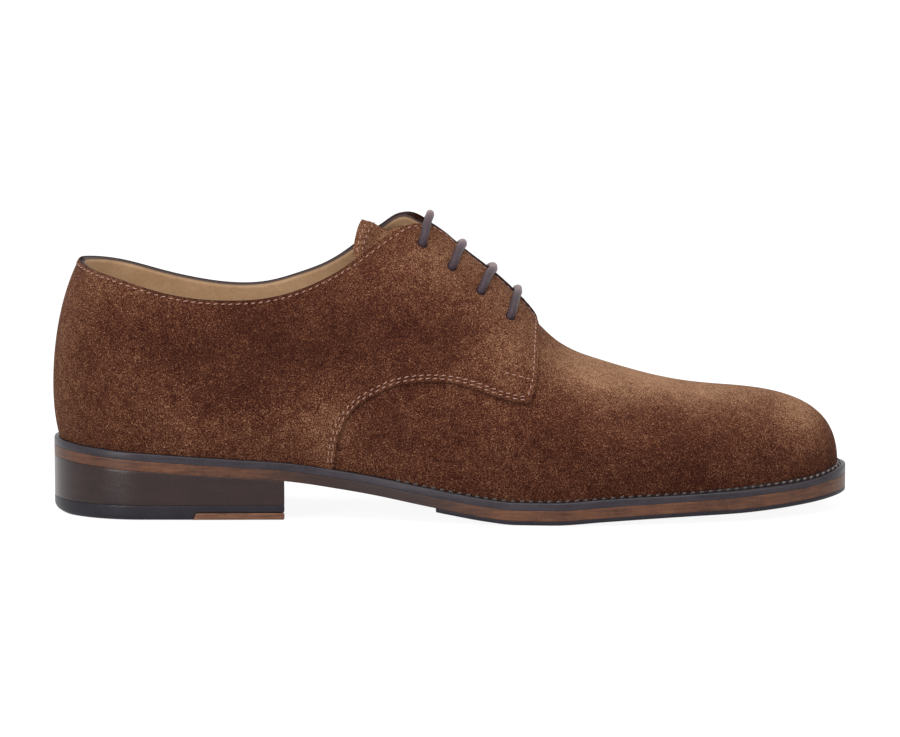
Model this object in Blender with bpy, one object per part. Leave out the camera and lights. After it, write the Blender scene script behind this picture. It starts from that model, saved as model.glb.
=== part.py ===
"""A man's plain derby shoe for the right foot, as separate solids.

Metres, +Z up, toe towards +X, the little toe's side towards -Y. The last frame starts at the
sole's back end; every object is then set back, so that the origin is the middle of the heel tread.
"""

import math

import bmesh
import bpy
import numpy as np

# Driving sizes.
SOLE_LENGTH = 0.304
BALL_WIDTH = 0.1
INSTEP_HEIGHT = 0.096
SEAT_HEIGHT = 0.0217
TOE_SPRING = 0.0066

# Thicknesses and clearances.
GAP = 0.0003
WELT_THICK = 0.003
OUTSOLE_THICK = 0.0037
RUBBER_THICK = 0.0016
INSOLE_RISE = 0.002
VAMP_WALL = 0.0016
QUARTER_STEP = 0.0012
TONGUE_THICK = 0.0018
TIP_THICK = 0.0056
INSERT_THICK = 0.0026
HEEL_BEVEL = 0.0016
HEEL_BEVEL_RUN = 0.009

# Places along the sole, from its back end.
HEEL_CENTRE = 0.036
ORIGIN_ALONG = 0.042
BREAST = 0.0894
BREAST_SLANT = 0.0026
BREAST_HOLLOW = 0.004
INSERT_START = 0.0555
RUBBER_START = 0.1465
VAMP_SLOT_END = 0.1765
FACING_SLOT_END = 0.1915
FACING_TOP = 0.1

# Plan of the upper and sole.
LEDGE = 0.0031
WAIST_LEDGE = 0.0024
WAIST_AT = 0.36
WAIST_SPREAD = 0.13
TOE_ROUND = 0.047
TOE_ROUND_POWER = 2.3
TOE_RISE_RUN = 0.047
TOE_RISE_POWER = 2.52

# Lacing.
LACE_RADIUS = 0.0016
LACE_CLEAR = 0.0002
EYELET_CLEAR = 0.0006
FACING_GAP_TOP = 0.0105
FACING_GAP_LOW = 0.0075
LACE_LEAN = math.radians(20)
BAR_SEARCH_BACK = 0.004
BAR_SEARCH_FRONT = 0.02
# The bar's first points: run from the eyelet's middle in radii of the hole, and how far up they
# are, as shares of the lace's full height.
BAR_FIRST_RUN = (0, 0, 0.25, 0.65, 1.1)
BAR_FIRST_LIFT = (-0.3, 0.15, 0.6, 0.9)
BAR_REST_RUN = 1.8
TONGUE_BACK = 0.1186
TONGUE_SIDES_BACK = 0.0056
TONGUE_CORNER = 0.0035
TONGUE_CLEAR = 0.0006
TONGUE_FLARE = 0.0036
TONGUE_FLARE_RUN = 0.005
TONGUE_DIP = 0.0022
TONGUE_DIP_RUN = 0.0055
TONGUE_FRONT = 0.186
FACING_LIFT = 0.0012
PUNCH_REACH = 0.004

# The tongue's sides, as shares of a section: its width at its front end, and how much it gains.
# Then where its corners' rounding starts, and how quickly its end falls back from its middle.
TONGUE_HALF = 0.2
TONGUE_SPREAD = 0.09
TONGUE_CORNER_FROM = 0.75
TONGUE_END_SHAPE = 0.22

# Where the facings stand higher on the tongue: shares of a section and of SOLE_LENGTH.
LIFT_FROM = 0.68
LIFT_RUN = 0.25
LIFT_ALONG = 0.5
LIFT_ALONG_RUN = 0.09

# The height of a section's widest place, counted along its curve from the feather edge.
BULGE_AT = 0.2

# Sections of the last, heel centre to toe. along: share of SOLE_LENGTH. Widths from the spine,
# as shares of BALL_WIDTH: sole_lat and sole_med are the sole's edge, bulge_* how far the upper
# stands out past its feather edge. bulge_up and ridge_up: shares of INSTEP_HEIGHT above the
# welt. side_pull and top_pull say how full the section is. spine: sideways place of the ridge.
SECTIONS = (
    # along, sole_lat, sole_med, bulge_lat, bulge_med, bulge_up, ridge_up, side_pull, top_pull, spine
    (0.118, 0.345, 0.340, 0.022, 0.024, 0.190, 0.917, 0.58, 0.56, 0.000),
    (0.200, 0.348, 0.328, 0.026, 0.034, 0.187, 0.922, 0.58, 0.52, 0.003),
    (0.290, 0.348, 0.294, 0.028, 0.052, 0.183, 0.930, 0.55, 0.44, 0.008),
    (0.375, 0.367, 0.262, 0.022, 0.068, 0.178, 0.926, 0.50, 0.37, 0.016),
    (0.445, 0.418, 0.265, 0.014, 0.068, 0.172, 1.043, 0.47, 0.38, 0.024),
    (0.510, 0.468, 0.305, 0.008, 0.046, 0.160, 0.917, 0.46, 0.46, 0.030),
    (0.575, 0.503, 0.363, 0.006, 0.022, 0.148, 0.761, 0.48, 0.50, 0.032),
    (0.625, 0.518, 0.408, 0.006, 0.012, 0.138, 0.580, 0.50, 0.54, 0.032),
    (0.690, 0.512, 0.450, 0.006, 0.008, 0.128, 0.474, 0.52, 0.56, 0.032),
    (0.780, 0.468, 0.456, 0.006, 0.006, 0.120, 0.389, 0.52, 0.58, 0.034),
    (0.860, 0.420, 0.434, 0.005, 0.005, 0.115, 0.354, 0.52, 0.60, 0.038),
    (0.930, 0.355, 0.375, 0.004, 0.004, 0.112, 0.344, 0.52, 0.60, 0.042),
    (1.000, 0.305, 0.325, 0.003, 0.003, 0.110, 0.344, 0.52, 0.60, 0.046),
)
SECTION_COLUMNS = (
    "along", "sole_lat", "sole_med", "bulge_lat", "bulge_med",
    "bulge_up", "ridge_up", "side_pull", "top_pull", "spine",
)
HEEL_BACK_BULGE = 0.021
HEEL_BACK_PULL = 0.55

# Side profile of the outsole's underside. seat: share of SEAT_HEIGHT, spring: of TOE_SPRING.
SOLE_PROFILE = (
    # along, seat, spring
    (0.000, 1.000, 0.00),
    (0.100, 0.870, 0.00),
    (0.165, 0.795, 0.00),
    (0.230, 0.730, 0.00),
    (0.295, 0.662, 0.00),
    (0.362, 0.520, 0.00),
    (0.412, 0.400, 0.00),
    (0.460, 0.265, 0.00),
    (0.505, 0.145, 0.00),
    (0.545, 0.050, 0.00),
    (0.580, 0.000, 0.00),
    (0.626, 0.000, 0.00),
    (0.690, 0.000, 0.18),
    (0.735, 0.000, 0.28),
    (0.806, 0.000, 0.40),
    (0.860, 0.000, 0.48),
    (0.910, 0.000, 0.60),
    (0.955, 0.000, 0.76),
    (1.000, 0.000, 1.00),
)

# Height of the collar's edge above the welt on both sides, as shares of INSTEP_HEIGHT.
COLLAR = (
    # along, lateral, medial
    (0.000, 0.740, 0.740),
    (0.030, 0.712, 0.718),
    (0.055, 0.690, 0.709),
    (0.079, 0.676, 0.699),
    (0.126, 0.642, 0.668),
    (0.180, 0.618, 0.640),
    (0.234, 0.620, 0.633),
    (0.269, 0.634, 0.650),
    (0.305, 0.668, 0.694),
    (0.338, 0.721, 0.751),
    (0.365, 0.777, 0.817),
    (0.395, 0.852, 0.906),
    (0.416, 0.912, 0.965),
    (0.436, 0.965, 1.014),
    (0.449, 0.992, 1.021),
    (0.465, 1.000, 1.003),
    (0.482, 0.995, 0.990),
)

# The quarter's edge seen from the side: up from the welt, over the arch and up the front.
QUARTER_EDGE = (
    # along, up
    (0.3555, -0.060),
    (0.3570, 0.040),
    (0.3620, 0.130),
    (0.3710, 0.200),
    (0.3860, 0.264),
    (0.4062, 0.316),
    (0.4289, 0.363),
    (0.4576, 0.400),
    (0.4842, 0.419),
    (0.5191, 0.421),
    (0.5572, 0.398),
    (0.5855, 0.382),
    (0.5984, 0.379),
    (0.6049, 0.443),
    (0.6074, 0.541),
    (0.6072, 0.637),
    (0.6060, 0.760),
)

# Middles of the eyelets on the little toe's side, lowest first.
EYELETS = (
    # along, up
    (0.5747, 0.695),
    (0.5385, 0.780),
    (0.5023, 0.857),
    (0.4658, 0.929),
)

# Mesh fineness.
TOE_COLUMNS = 9
MIDDLE_COLUMNS = 27
HEEL_COLUMNS = 7
SECTION_SHARES = (0, 0.1, 0.22, 0.4, 0.56, 0.68, 0.78, 0.86, 0.92, 0.965, 1)
HEEL_SHARE = 0.16
TOE_SHARE = 0.8
SKIRT_FLOOR = -0.02

MATERIALS = {
    # base colour, roughness
    "suede": ((0.118, 0.045, 0.022), 0.95),
    "lining": ((0.42, 0.27, 0.13), 0.6),
    "lace": ((0.05, 0.032, 0.032), 0.6),
    "welt": ((0.032, 0.022, 0.02), 0.4),
    "sole_leather": ((0.1, 0.045, 0.027), 0.4),
    "heel_leather": ((0.045, 0.03, 0.026), 0.35),
    "rubber": ((0.02, 0.019, 0.022), 0.5),
    "tan_leather": ((0.24, 0.11, 0.06), 0.5),
}


def spline(table, column, along):
    """A curve through one column of a table that never overshoots its rows (Fritsch-Carlson)."""
    rows = np.array(table, float)
    x, y = rows[:, 0], rows[:, column]
    step = np.diff(x)
    slope = np.diff(y) / step
    tangent = np.zeros(len(x))
    inner = slope[:-1] * slope[1:] > 0
    w1, w2 = 2 * step[1:] + step[:-1], step[1:] + 2 * step[:-1]
    safe = np.where(inner, slope[:-1], 1.0), np.where(inner, slope[1:], 1.0)
    tangent[1:-1] = np.where(inner, (w1 + w2) / (w1 / safe[0] + w2 / safe[1]), 0.0)
    tangent[0], tangent[-1] = slope[0], slope[-1]
    return hermite(x, y, tangent, along)


def soft_spline(table, column, along):
    """The natural cubic spline through one column of a table, smooth in its curvature."""
    rows = np.array(table, float)
    x, y = rows[:, 0], rows[:, column]
    step = np.diff(x)
    count = len(x)
    matrix, right = np.zeros((count, count)), np.zeros(count)
    matrix[0, 0:2] = 2, 1
    matrix[-1, -2:] = 1, 2
    right[0] = 3 * (y[1] - y[0]) / step[0]
    right[-1] = 3 * (y[-1] - y[-2]) / step[-1]
    for i in range(1, count - 1):
        matrix[i, i - 1:i + 2] = step[i], 2 * (step[i - 1] + step[i]), step[i - 1]
        before, after = (y[i] - y[i - 1]) / step[i - 1], (y[i + 1] - y[i]) / step[i]
        right[i] = 3 * (step[i] * before + step[i - 1] * after)
    return hermite(x, y, np.linalg.solve(matrix, right), along)


def hermite(x, y, tangent, along):
    """Cubic pieces through points with given tangents, held straight past both ends."""
    at = np.asarray(along, float)
    inside = np.clip(at, x[0], x[-1])
    i = np.clip(np.searchsorted(x, inside) - 1, 0, len(x) - 2)
    h = x[i + 1] - x[i]
    t = (inside - x[i]) / h
    value = (
        (2 * t**3 - 3 * t**2 + 1) * y[i]
        + (t**3 - 2 * t**2 + t) * h * tangent[i]
        + (3 * t**2 - 2 * t**3) * y[i + 1]
        + (t**3 - t**2) * h * tangent[i + 1]
    )
    past = np.where(at > x[-1], (at - x[-1]) * tangent[-1], 0.0)
    return value + past


def column(name, x):
    """One named column of SECTIONS at places x along the last."""
    return soft_spline(SECTIONS, SECTION_COLUMNS.index(name), np.asarray(x) / SOLE_LENGTH)


def rounded_end(distance, run, power):
    """0 at the tip of the toe, 1 from run inwards, along a superellipse."""
    share = np.clip(1 - np.asarray(distance) / run, 0, 1)
    return (1 - share**power) ** (1 / power)


def underside(x):
    """Height of the leather outsole's underside above the floor."""
    along = np.clip(np.asarray(x) / SOLE_LENGTH, 0, 1.02)
    low = RUBBER_THICK + GAP
    seat, spring = spline(SOLE_PROFILE, 1, along), spline(SOLE_PROFILE, 2, along)
    return low + (SEAT_HEIGHT - low) * seat + TOE_SPRING * spring


def outsole_top(x):
    return underside(x) + OUTSOLE_THICK


def welt_top(x):
    return outsole_top(x) + GAP + WELT_THICK


def ledge(x):
    """Width of the welt that shows outside the upper: a little less along the waist."""
    near = np.exp(-(((np.asarray(x) / SOLE_LENGTH - WAIST_AT) / WAIST_SPREAD) ** 2))
    return LEDGE + (WAIST_LEDGE - LEDGE) * near


def heel_angle(u):
    """Turn of the fan of sections round the heel: 0 at its sides, a right angle at the back."""
    return np.clip(1 - np.abs(u) / HEEL_SHARE, 0, 1) * math.pi / 2


def x_of(u, tip):
    """Place along the last of section u, which runs from 0 at the heel's back to 1 at the toe,
    evenly as far as the toe's rounding and then ever closer together."""
    size = np.abs(u)
    start = tip - TOE_ROUND
    middle = np.clip((size - HEEL_SHARE) / (TOE_SHARE - HEEL_SHARE), 0, 1)
    toe = np.clip((size - TOE_SHARE) / (1 - TOE_SHARE), 0, 1)
    return HEEL_CENTRE + (start - HEEL_CENTRE) * middle + TOE_ROUND * np.sin(toe * math.pi / 2)


def u_of(x, tip):
    """The section at place x, the other way round from x_of."""
    start = tip - TOE_ROUND
    middle = np.clip((np.asarray(x) - HEEL_CENTRE) / (start - HEEL_CENTRE), 0, 1)
    toe = np.arcsin(np.clip((np.asarray(x) - start) / TOE_ROUND, 0, 1)) / (math.pi / 2)
    return HEEL_SHARE + (TOE_SHARE - HEEL_SHARE) * middle + (1 - TOE_SHARE) * toe


def sole_half(x, medial):
    return BALL_WIDTH * np.where(medial, column("sole_med", x), column("sole_lat", x))


def fan(u, side, back, x, spine, medial):
    """Plan place at distance side or back from the spine: straight out along the last, and an
    ellipse with half axes back and side round the heel."""
    angle = heel_angle(u)
    size = np.sqrt(np.maximum((back * np.cos(angle)) ** 2 + (side * np.sin(angle)) ** 2, 1e-18))
    reach = side * back / size
    out = np.where(medial, 1.0, -1.0) * np.cos(angle)
    return x - reach * np.sin(angle), spine + reach * out


def edge(u, inset):
    """Plan outline of a sole layer, set in from the sole's edge. u below 0 is the little toe's side."""
    u = np.asarray(u, float)
    medial = u > 0
    tip = SOLE_LENGTH - inset
    x = x_of(u, tip)
    half = (sole_half(x, medial) - inset) * rounded_end(tip - x, TOE_ROUND, TOE_ROUND_POWER)
    back = HEEL_CENTRE - inset
    return fan(u, half, back, x, BALL_WIDTH * column("spine", x), medial)


def bezier(p0, p1, p2, p3, t):
    s = 1 - t
    return s**3 * p0 + 3 * s**2 * t * p1 + 3 * s * t**2 * p2 + t**3 * p3


def section(out, bulge, bulge_up, ridge_up, side_pull, top_pull, a):
    """Distance from the spine and height above the welt along one section. The curve runs from
    the feather edge, a = 0, out to its widest place, a = BULGE_AT, and over to the ridge, a = 1."""
    wide = out + bulge
    low = np.clip(a / BULGE_AT, 0, 1)
    high = np.clip((a - BULGE_AT) / (1 - BULGE_AT), 0, 1)
    lower = a < BULGE_AT
    reach = np.where(
        lower,
        bezier(out, out + 0.6 * bulge, wide, wide, low),
        bezier(wide, wide, top_pull * wide, 0 * wide, high),
    )
    up = np.where(
        lower,
        bezier(0 * wide, 0.25 * bulge_up, 0.6 * bulge_up, bulge_up, low),
        bezier(bulge_up, bulge_up + side_pull * (ridge_up - bulge_up), ridge_up, ridge_up, high),
    )
    return reach, up


def last_point(u, a):
    """The vamp's outer surface, which is the last with the leather on it, at section u and share a."""
    u, a = np.broadcast_arrays(np.asarray(u, float), np.asarray(a, float))
    medial = u > 0
    tip = SOLE_LENGTH - LEDGE
    x = x_of(u, tip)
    toe = rounded_end(tip - x, TOE_ROUND, TOE_ROUND_POWER)
    rise = rounded_end(tip - x, TOE_RISE_RUN, TOE_RISE_POWER)
    inset = ledge(x)
    out = (sole_half(x, medial) - inset) * toe
    bulge = BALL_WIDTH * np.where(medial, column("bulge_med", x), column("bulge_lat", x)) * toe
    bulge_up = INSTEP_HEIGHT * column("bulge_up", x) * rise
    ridge_up = INSTEP_HEIGHT * column("ridge_up", x) * rise
    pulls = column("side_pull", x), column("top_pull", x)
    side, up = section(out, bulge, bulge_up, ridge_up, *pulls, a)
    back, back_up = section(
        HEEL_CENTRE - inset, BALL_WIDTH * HEEL_BACK_BULGE, bulge_up, ridge_up,
        HEEL_BACK_PULL, HEEL_BACK_PULL, a,
    )
    turned = np.sin(heel_angle(u)) ** 2
    px, py = fan(u, side, back, x, BALL_WIDTH * column("spine", x), medial)
    return np.stack([px, py, welt_top(px) + GAP + up * (1 - turned) + back_up * turned], axis=-1)


def surface(u, a, out=0.0):
    """last_point moved outwards along the surface's own normal."""
    step = 1e-4
    u, a = np.broadcast_arrays(np.asarray(u, float), np.asarray(a, float))
    inner = np.clip(a, step, 1 - 6e-3)
    along = last_point(u + step, inner) - last_point(u - step, inner)
    up = last_point(u, inner + step) - last_point(u, inner - step)
    normal = np.cross(up, along)
    normal /= np.maximum(np.linalg.norm(normal, axis=-1, keepdims=True), 1e-15)
    return last_point(u, a) + np.asarray(out)[..., None] * normal


def eased(share):
    """0 to 1 with a level start and end."""
    inside = np.clip(share, 0, 1)
    return inside**2 * (3 - 2 * inside)


def quarter_out(u, a):
    """How far the quarters stand off the vamp's surface: more where the facings lie on the tongue."""
    along = x_of(u, SOLE_LENGTH - LEDGE) / SOLE_LENGTH
    near = eased((a - LIFT_FROM) / LIFT_RUN) * eased((along - LIFT_ALONG) / LIFT_ALONG_RUN)
    return QUARTER_STEP + FACING_LIFT * near


def share_at_height(u, up):
    """The share a at which section u reaches a height above the welt."""
    shares = np.linspace(0, 1, 400)
    points = last_point(u, shares)
    return float(np.interp(up, points[:, 2] - welt_top(points[:, 0]) - GAP, shares))


def columns_of_last():
    """Section numbers from the toe round the heel to the toe again."""
    toe = np.linspace(1, TOE_SHARE, TOE_COLUMNS + 1)
    middle = np.linspace(TOE_SHARE, HEEL_SHARE, MIDDLE_COLUMNS + 1)[1:]
    heel = np.linspace(HEEL_SHARE, 0, HEEL_COLUMNS + 1)[1:]
    half = np.concatenate([toe, middle, heel])
    return np.concatenate([-half, half[-2::-1]])


def link(obj, material):
    """Puts an object in the scene with its material, set back so that the origin is the heel tread."""
    obj.location.x = -ORIGIN_ALONG
    obj.data.materials.append(material_named(material))
    bpy.context.scene.collection.objects.link(obj)
    return obj


def material_named(name):
    found = bpy.data.materials.get(name)
    if found:
        return found
    colour, roughness = MATERIALS[name]
    made = bpy.data.materials.new(name)
    made.use_nodes = True
    shader = made.node_tree.nodes["Principled BSDF"]
    shader.inputs["Base Color"].default_value = (*colour, 1)
    shader.inputs["Roughness"].default_value = roughness
    shader.inputs["Metallic"].default_value = 0
    return made


def mesh_of(name, points, faces, weld=1e-6):
    """A mesh from points and faces, with doubles merged and its faces turned outwards."""
    mesh = bpy.data.meshes.new(name)
    mesh.from_pydata([tuple(p) for p in points], [], faces)
    body = bmesh.new()
    body.from_mesh(mesh)
    bmesh.ops.remove_doubles(body, verts=body.verts, dist=weld)
    bmesh.ops.dissolve_degenerate(body, dist=weld, edges=body.edges)
    bmesh.ops.recalc_face_normals(body, faces=body.faces)
    if body.calc_volume(signed=True) < 0:
        bmesh.ops.reverse_faces(body, faces=body.faces)
    body.to_mesh(mesh)
    body.free()
    return mesh


def grid_faces(rows, columns, first=0):
    """Quads of a grid of points stored row after row."""
    return [
        (first + r * columns + c, first + r * columns + c + 1,
         first + (r + 1) * columns + c + 1, first + (r + 1) * columns + c)
        for r in range(rows - 1)
        for c in range(columns - 1)
    ]


def closed_grid(name, top, bottom):
    """The solid between two grids of points (rows, columns, 3) with the same edges in plan."""
    rows, columns = top.shape[:2]
    count = rows * columns
    faces = grid_faces(rows, columns)
    faces += [f[::-1] for f in grid_faces(rows, columns, count)]
    rim = [c for c in range(columns)]
    rim += [r * columns + columns - 1 for r in range(1, rows)]
    rim += [(rows - 1) * columns + c for c in range(columns - 2, -1, -1)]
    rim += [r * columns for r in range(rows - 2, 0, -1)]
    faces += [(a, a + count, b + count, b) for a, b in zip(rim, rim[1:] + rim[:1])]
    return mesh_of(name, np.concatenate([top.reshape(-1, 3), bottom.reshape(-1, 3)]), faces)


def last_form(name, out):
    """The whole closed last, its surface moved outwards by out(u, a), standing on a skirt below
    the floor."""
    u = columns_of_last()
    rows = np.array(SECTION_SHARES)
    away = out(u[None, :], rows[:, None])
    points = surface(u[None, :], rows[:, None], away)
    # The two halves meet on the spine, and the toe's columns in one point.
    points[-1, :, 1] = BALL_WIDTH * column("spine", points[-1, :, 0])
    half = len(u) // 2
    points[-1] = (points[-1] + points[-1, ::-1]) / 2
    fan_columns = slice(half - HEEL_COLUMNS, half + HEEL_COLUMNS + 1)
    points[-1, fan_columns] = points[-1, half - HEEL_COLUMNS]
    tip = points[0, 0].copy()
    tip[0] = SOLE_LENGTH - LEDGE + float(np.asarray(out(1.0, 0.0)))
    points[:, 0] = points[:, -1] = tip
    skirt = points[:1].copy()
    skirt[..., 2] = SKIRT_FLOOR
    points = np.concatenate([skirt, points])
    count = len(u)
    faces = grid_faces(len(points), count)
    faces += [(c, c + 1, count - 2 - c, count - 1 - c) for c in range(half - 1)]
    faces.append((half - 1, half, half + 1))
    return mesh_of(name, points.reshape(-1, 3), faces)


def cutter(name, mesh):
    """A helper that shapes its neighbours and isn't part of the shoe."""
    obj = bpy.data.objects.new(name, mesh)
    obj.hide_render = True
    obj.display_type = "WIRE"
    bpy.context.scene.collection.objects.link(obj)
    return obj


def in_triangles(mesh):
    body = bmesh.new()
    body.from_mesh(mesh)
    bmesh.ops.triangulate(body, faces=body.faces)
    body.to_mesh(mesh)
    body.free()
    return mesh


def combined(mesh, steps):
    """The mesh after a row of Boolean steps, each an operation and another mesh."""
    obj = cutter("work", in_triangles(mesh))
    others = []
    for operation, other in steps:
        others.append(cutter("tool", in_triangles(other)))
        modifier = obj.modifiers.new("step", "BOOLEAN")
        modifier.operation = operation
        modifier.solver = "EXACT"
        modifier.object = others[-1]
    graph = bpy.context.evaluated_depsgraph_get()
    done = bpy.data.meshes.new_from_object(obj.evaluated_get(graph))
    for used in [obj, *others]:
        bpy.data.objects.remove(used)
    body = bmesh.new()
    body.from_mesh(done)
    bmesh.ops.remove_doubles(body, verts=body.verts, dist=2e-6)
    bmesh.ops.dissolve_degenerate(body, dist=2e-6, edges=body.edges)
    body.to_mesh(done)
    body.free()
    return in_triangles(done)


def side_prism(name, lateral, medial, reach=0.09):
    """A solid whose outline in side view is given as (x, z) points, the same or another one on
    each side of the shoe."""
    points = [(x, -reach, z) for x, z in lateral] + [(x, reach, z) for x, z in medial]
    count = len(lateral)
    ring = range(count)
    faces = [tuple(ring), tuple(range(2 * count - 1, count - 1, -1))]
    faces += [(i, (i + 1) % count, (i + 1) % count + count, i + count) for i in ring]
    return mesh_of(name, points, faces)


def above_welt(table, side):
    """Points (x, z) of a side-view table of shares: along the sole, and up from the welt."""
    rows = np.array(table)
    x = rows[:, 0] * SOLE_LENGTH
    return x, welt_top(x) + rows[:, side] * INSTEP_HEIGHT


def smooth_line(table, count, side=1):
    """A smooth side-view line through a table, by the distance run along it. side is the column
    of the heights."""
    x, z = above_welt(table, side)
    run = np.concatenate([[0], np.cumsum(np.hypot(np.diff(x), np.diff(z)))])
    rows = np.stack([run, x, z], axis=1)
    at = np.linspace(0, run[-1], count)
    return list(zip(soft_spline(rows, 1, at), soft_spline(rows, 2, at)))


def collar_line(side, count=44):
    """The collar's edge in side view, from behind the heel to over the top of the facings."""
    far = 0.05
    line = smooth_line(COLLAR, count, side)
    first, last = line[0], line[-1]
    return [(first[0] - far, first[1] + far / 4), *line, (last[0] + far, last[1] + far)]


def opening_form():
    """What the foot goes in through: all that lies above the collar's edge."""
    high = 0.3
    lateral, medial = collar_line(1), collar_line(2)
    lid = [(lateral[-1][0], high), (lateral[0][0], high)]
    return side_prism("opening", lateral + lid, medial + lid)


def quarter_form():
    """Side view of both quarters: all that lies behind the seam's arch and their front edge."""
    high, back, low = 0.3, -0.05, -0.01
    line = smooth_line(QUARTER_EDGE, 46)
    corner = [(line[-1][0], high), (back, high), (back, low), (line[0][0], low)]
    return side_prism("quarters", line + corner, line + corner)


def below_form():
    """All that lies under the upper's feather edge."""
    low, past = -0.05, 0.05
    x = np.linspace(-past, SOLE_LENGTH + past, 60)
    line = list(zip(x, welt_top(x) + GAP))
    outline = [*line, (x[-1], low), (x[0], low)]
    return side_prism("below", outline, outline)


def spine(x):
    return BALL_WIDTH * float(column("spine", x))


def slot_form(front, top_gap, low_gap):
    """The gap between the facings in plan, from its round front end back past their tops."""
    back, low, high = FACING_TOP, 0.0, 0.3
    radius = low_gap / 2
    turns = np.linspace(-math.pi / 2, math.pi / 2, 9)
    centre = front - radius
    line = [(centre + radius * math.cos(t), spine(centre) + radius * math.sin(t)) for t in turns]
    line += [(back, spine(back) + top_gap / 2), (back, spine(back) - top_gap / 2)]
    count = len(line)
    points = [(x, y, low) for x, y in line] + [(x, y, high) for x, y in line]
    ring = range(count)
    faces = [tuple(ring), tuple(range(2 * count - 1, count - 1, -1))]
    faces += [(i, (i + 1) % count, (i + 1) % count + count, i + count) for i in ring]
    return mesh_of("slot", points, faces)


def eyelet_places():
    """Section and share of the eyelets, lowest pair first, each pair at one height."""
    pairs = []
    for along, up in EYELETS:
        u = float(u_of(along * SOLE_LENGTH, SOLE_LENGTH - LEDGE))
        pairs.append([(side * u, share_at_height(side * u, up * INSTEP_HEIGHT)) for side in (-1, 1)])
    return pairs


def eyelet_form(u, a):
    """A round punch through the facing, along the surface's normal."""
    radius = LACE_RADIUS + EYELET_CLEAR
    low, high = surface(u, a, -PUNCH_REACH), surface(u, a, PUNCH_REACH)
    axis = (high - low) / np.linalg.norm(high - low)
    side = np.cross(axis, (1, 0, 0))
    side /= np.linalg.norm(side)
    other = np.cross(axis, side)
    count = 12
    turns = np.linspace(0, 2 * math.pi, count, endpoint=False)
    ring = radius * (np.cos(turns)[:, None] * side + np.sin(turns)[:, None] * other)
    faces = [tuple(range(count)), tuple(range(2 * count - 1, count - 1, -1))]
    faces += [(i, (i + 1) % count, (i + 1) % count + count, i + count) for i in range(count)]
    return mesh_of("punch", np.concatenate([low + ring, high + ring]), faces)


def make_upper():
    """Vamp and quarters in one hollow wall. The quarters are a step outwards, cut between the
    vamp's form and a larger one."""
    overlay = combined(
        last_form("quarter_last", quarter_out),
        [
            ("INTERSECT", quarter_form()),
            ("DIFFERENCE", slot_form(FACING_SLOT_END, FACING_GAP_TOP, FACING_GAP_LOW)),
        ],
    )
    steps = [
        ("UNION", overlay),
        ("DIFFERENCE", last_form("inside", lambda u, a: 0 * (u + a) - VAMP_WALL)),
        ("DIFFERENCE", below_form()),
        ("DIFFERENCE", opening_form()),
        ("DIFFERENCE", slot_form(VAMP_SLOT_END, FACING_GAP_TOP, FACING_GAP_LOW)),
    ]
    steps += [("DIFFERENCE", eyelet_form(u, a)) for pair in eyelet_places() for u, a in pair]
    mesh = combined(last_form("vamp_last", lambda u, a: 0 * (u + a)), steps)
    link(bpy.data.objects.new("upper", mesh), "suede")


def make_tongue():
    """A curved sheet under the facings. Its free end stands up inside the collar, its sides
    reaching further back than its middle."""
    rows, across = 16, 17
    tip = SOLE_LENGTH - LEDGE
    place = np.linspace(-1, 1, across)[None, :]
    run = np.linspace(0, 1, rows)[:, None]
    back = TONGUE_BACK - TONGUE_SIDES_BACK * place**2 / (place**2 + TONGUE_END_SHAPE)
    corner = np.clip((np.abs(place) - TONGUE_CORNER_FROM) / (1 - TONGUE_CORNER_FROM), 0, 1)
    back = back + TONGUE_CORNER * corner**2
    x = TONGUE_FRONT + (back - TONGUE_FRONT) * run
    share = 1 - (TONGUE_HALF + TONGUE_SPREAD * run) * np.abs(place)
    u = np.where(place < 0, -1.0, 1.0) * u_of(x, tip)
    from_end = x - back
    flare = TONGUE_FLARE * np.clip(1 - from_end / TONGUE_FLARE_RUN, 0, 1) ** 2
    dip = TONGUE_DIP * np.exp(-((from_end / TONGUE_DIP_RUN - 1) ** 2))
    high = (flare - dip) * (1 - place**2) ** 2 - VAMP_WALL - TONGUE_CLEAR
    top, bottom = surface(u, share, high), surface(u, share, high - TONGUE_THICK)
    for sheet in (top, bottom):
        sheet[:, across // 2, 1] = BALL_WIDTH * column("spine", sheet[:, across // 2, 0])
    link(bpy.data.objects.new("tongue", closed_grid("tongue", top, bottom)), "suede")


def plan_rows(inset, start, end, hollow=0.0, slant=0.0, across=2, count=24):
    """Rows of a sole layer from x = start to end, each from the little toe's side across, as
    places (rows, across, 2). hollow bends the last rows backwards in their middle, and slant
    sets their far end back."""
    tip = SOLE_LENGTH - inset
    if start <= 0:
        heel = np.linspace(0, HEEL_SHARE, HEEL_COLUMNS + 1)[:-1]
        start = HEEL_CENTRE
    else:
        heel = np.zeros(0)
    first, last = float(u_of(start, tip)), float(u_of(min(end, tip), tip))
    u = np.concatenate([heel, np.linspace(first, last, count)])
    lateral = np.stack(edge(-u, inset), axis=-1)
    medial = np.stack(edge(u, inset), axis=-1)
    share = np.linspace(0, 1, across)[None, :, None]
    rows = lateral[:, None] * (1 - share) + medial[:, None] * share
    bent = np.clip((rows[..., 0] - start) / (end - start), 0, 1)
    rows[..., 0] -= bent * (hollow * (1 - (2 * share[..., 0] - 1) ** 2) + slant * share[..., 0])
    return rows


def lifted(rows, height):
    """Plan rows with a height at each place, worked out from x."""
    return np.concatenate([rows, height(rows[..., 0])[..., None]], axis=-1)


def make_layer(name, material, rows, low, high):
    mesh = closed_grid(name, lifted(rows, high), lifted(rows, low))
    return link(bpy.data.objects.new(name, mesh), material)


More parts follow.
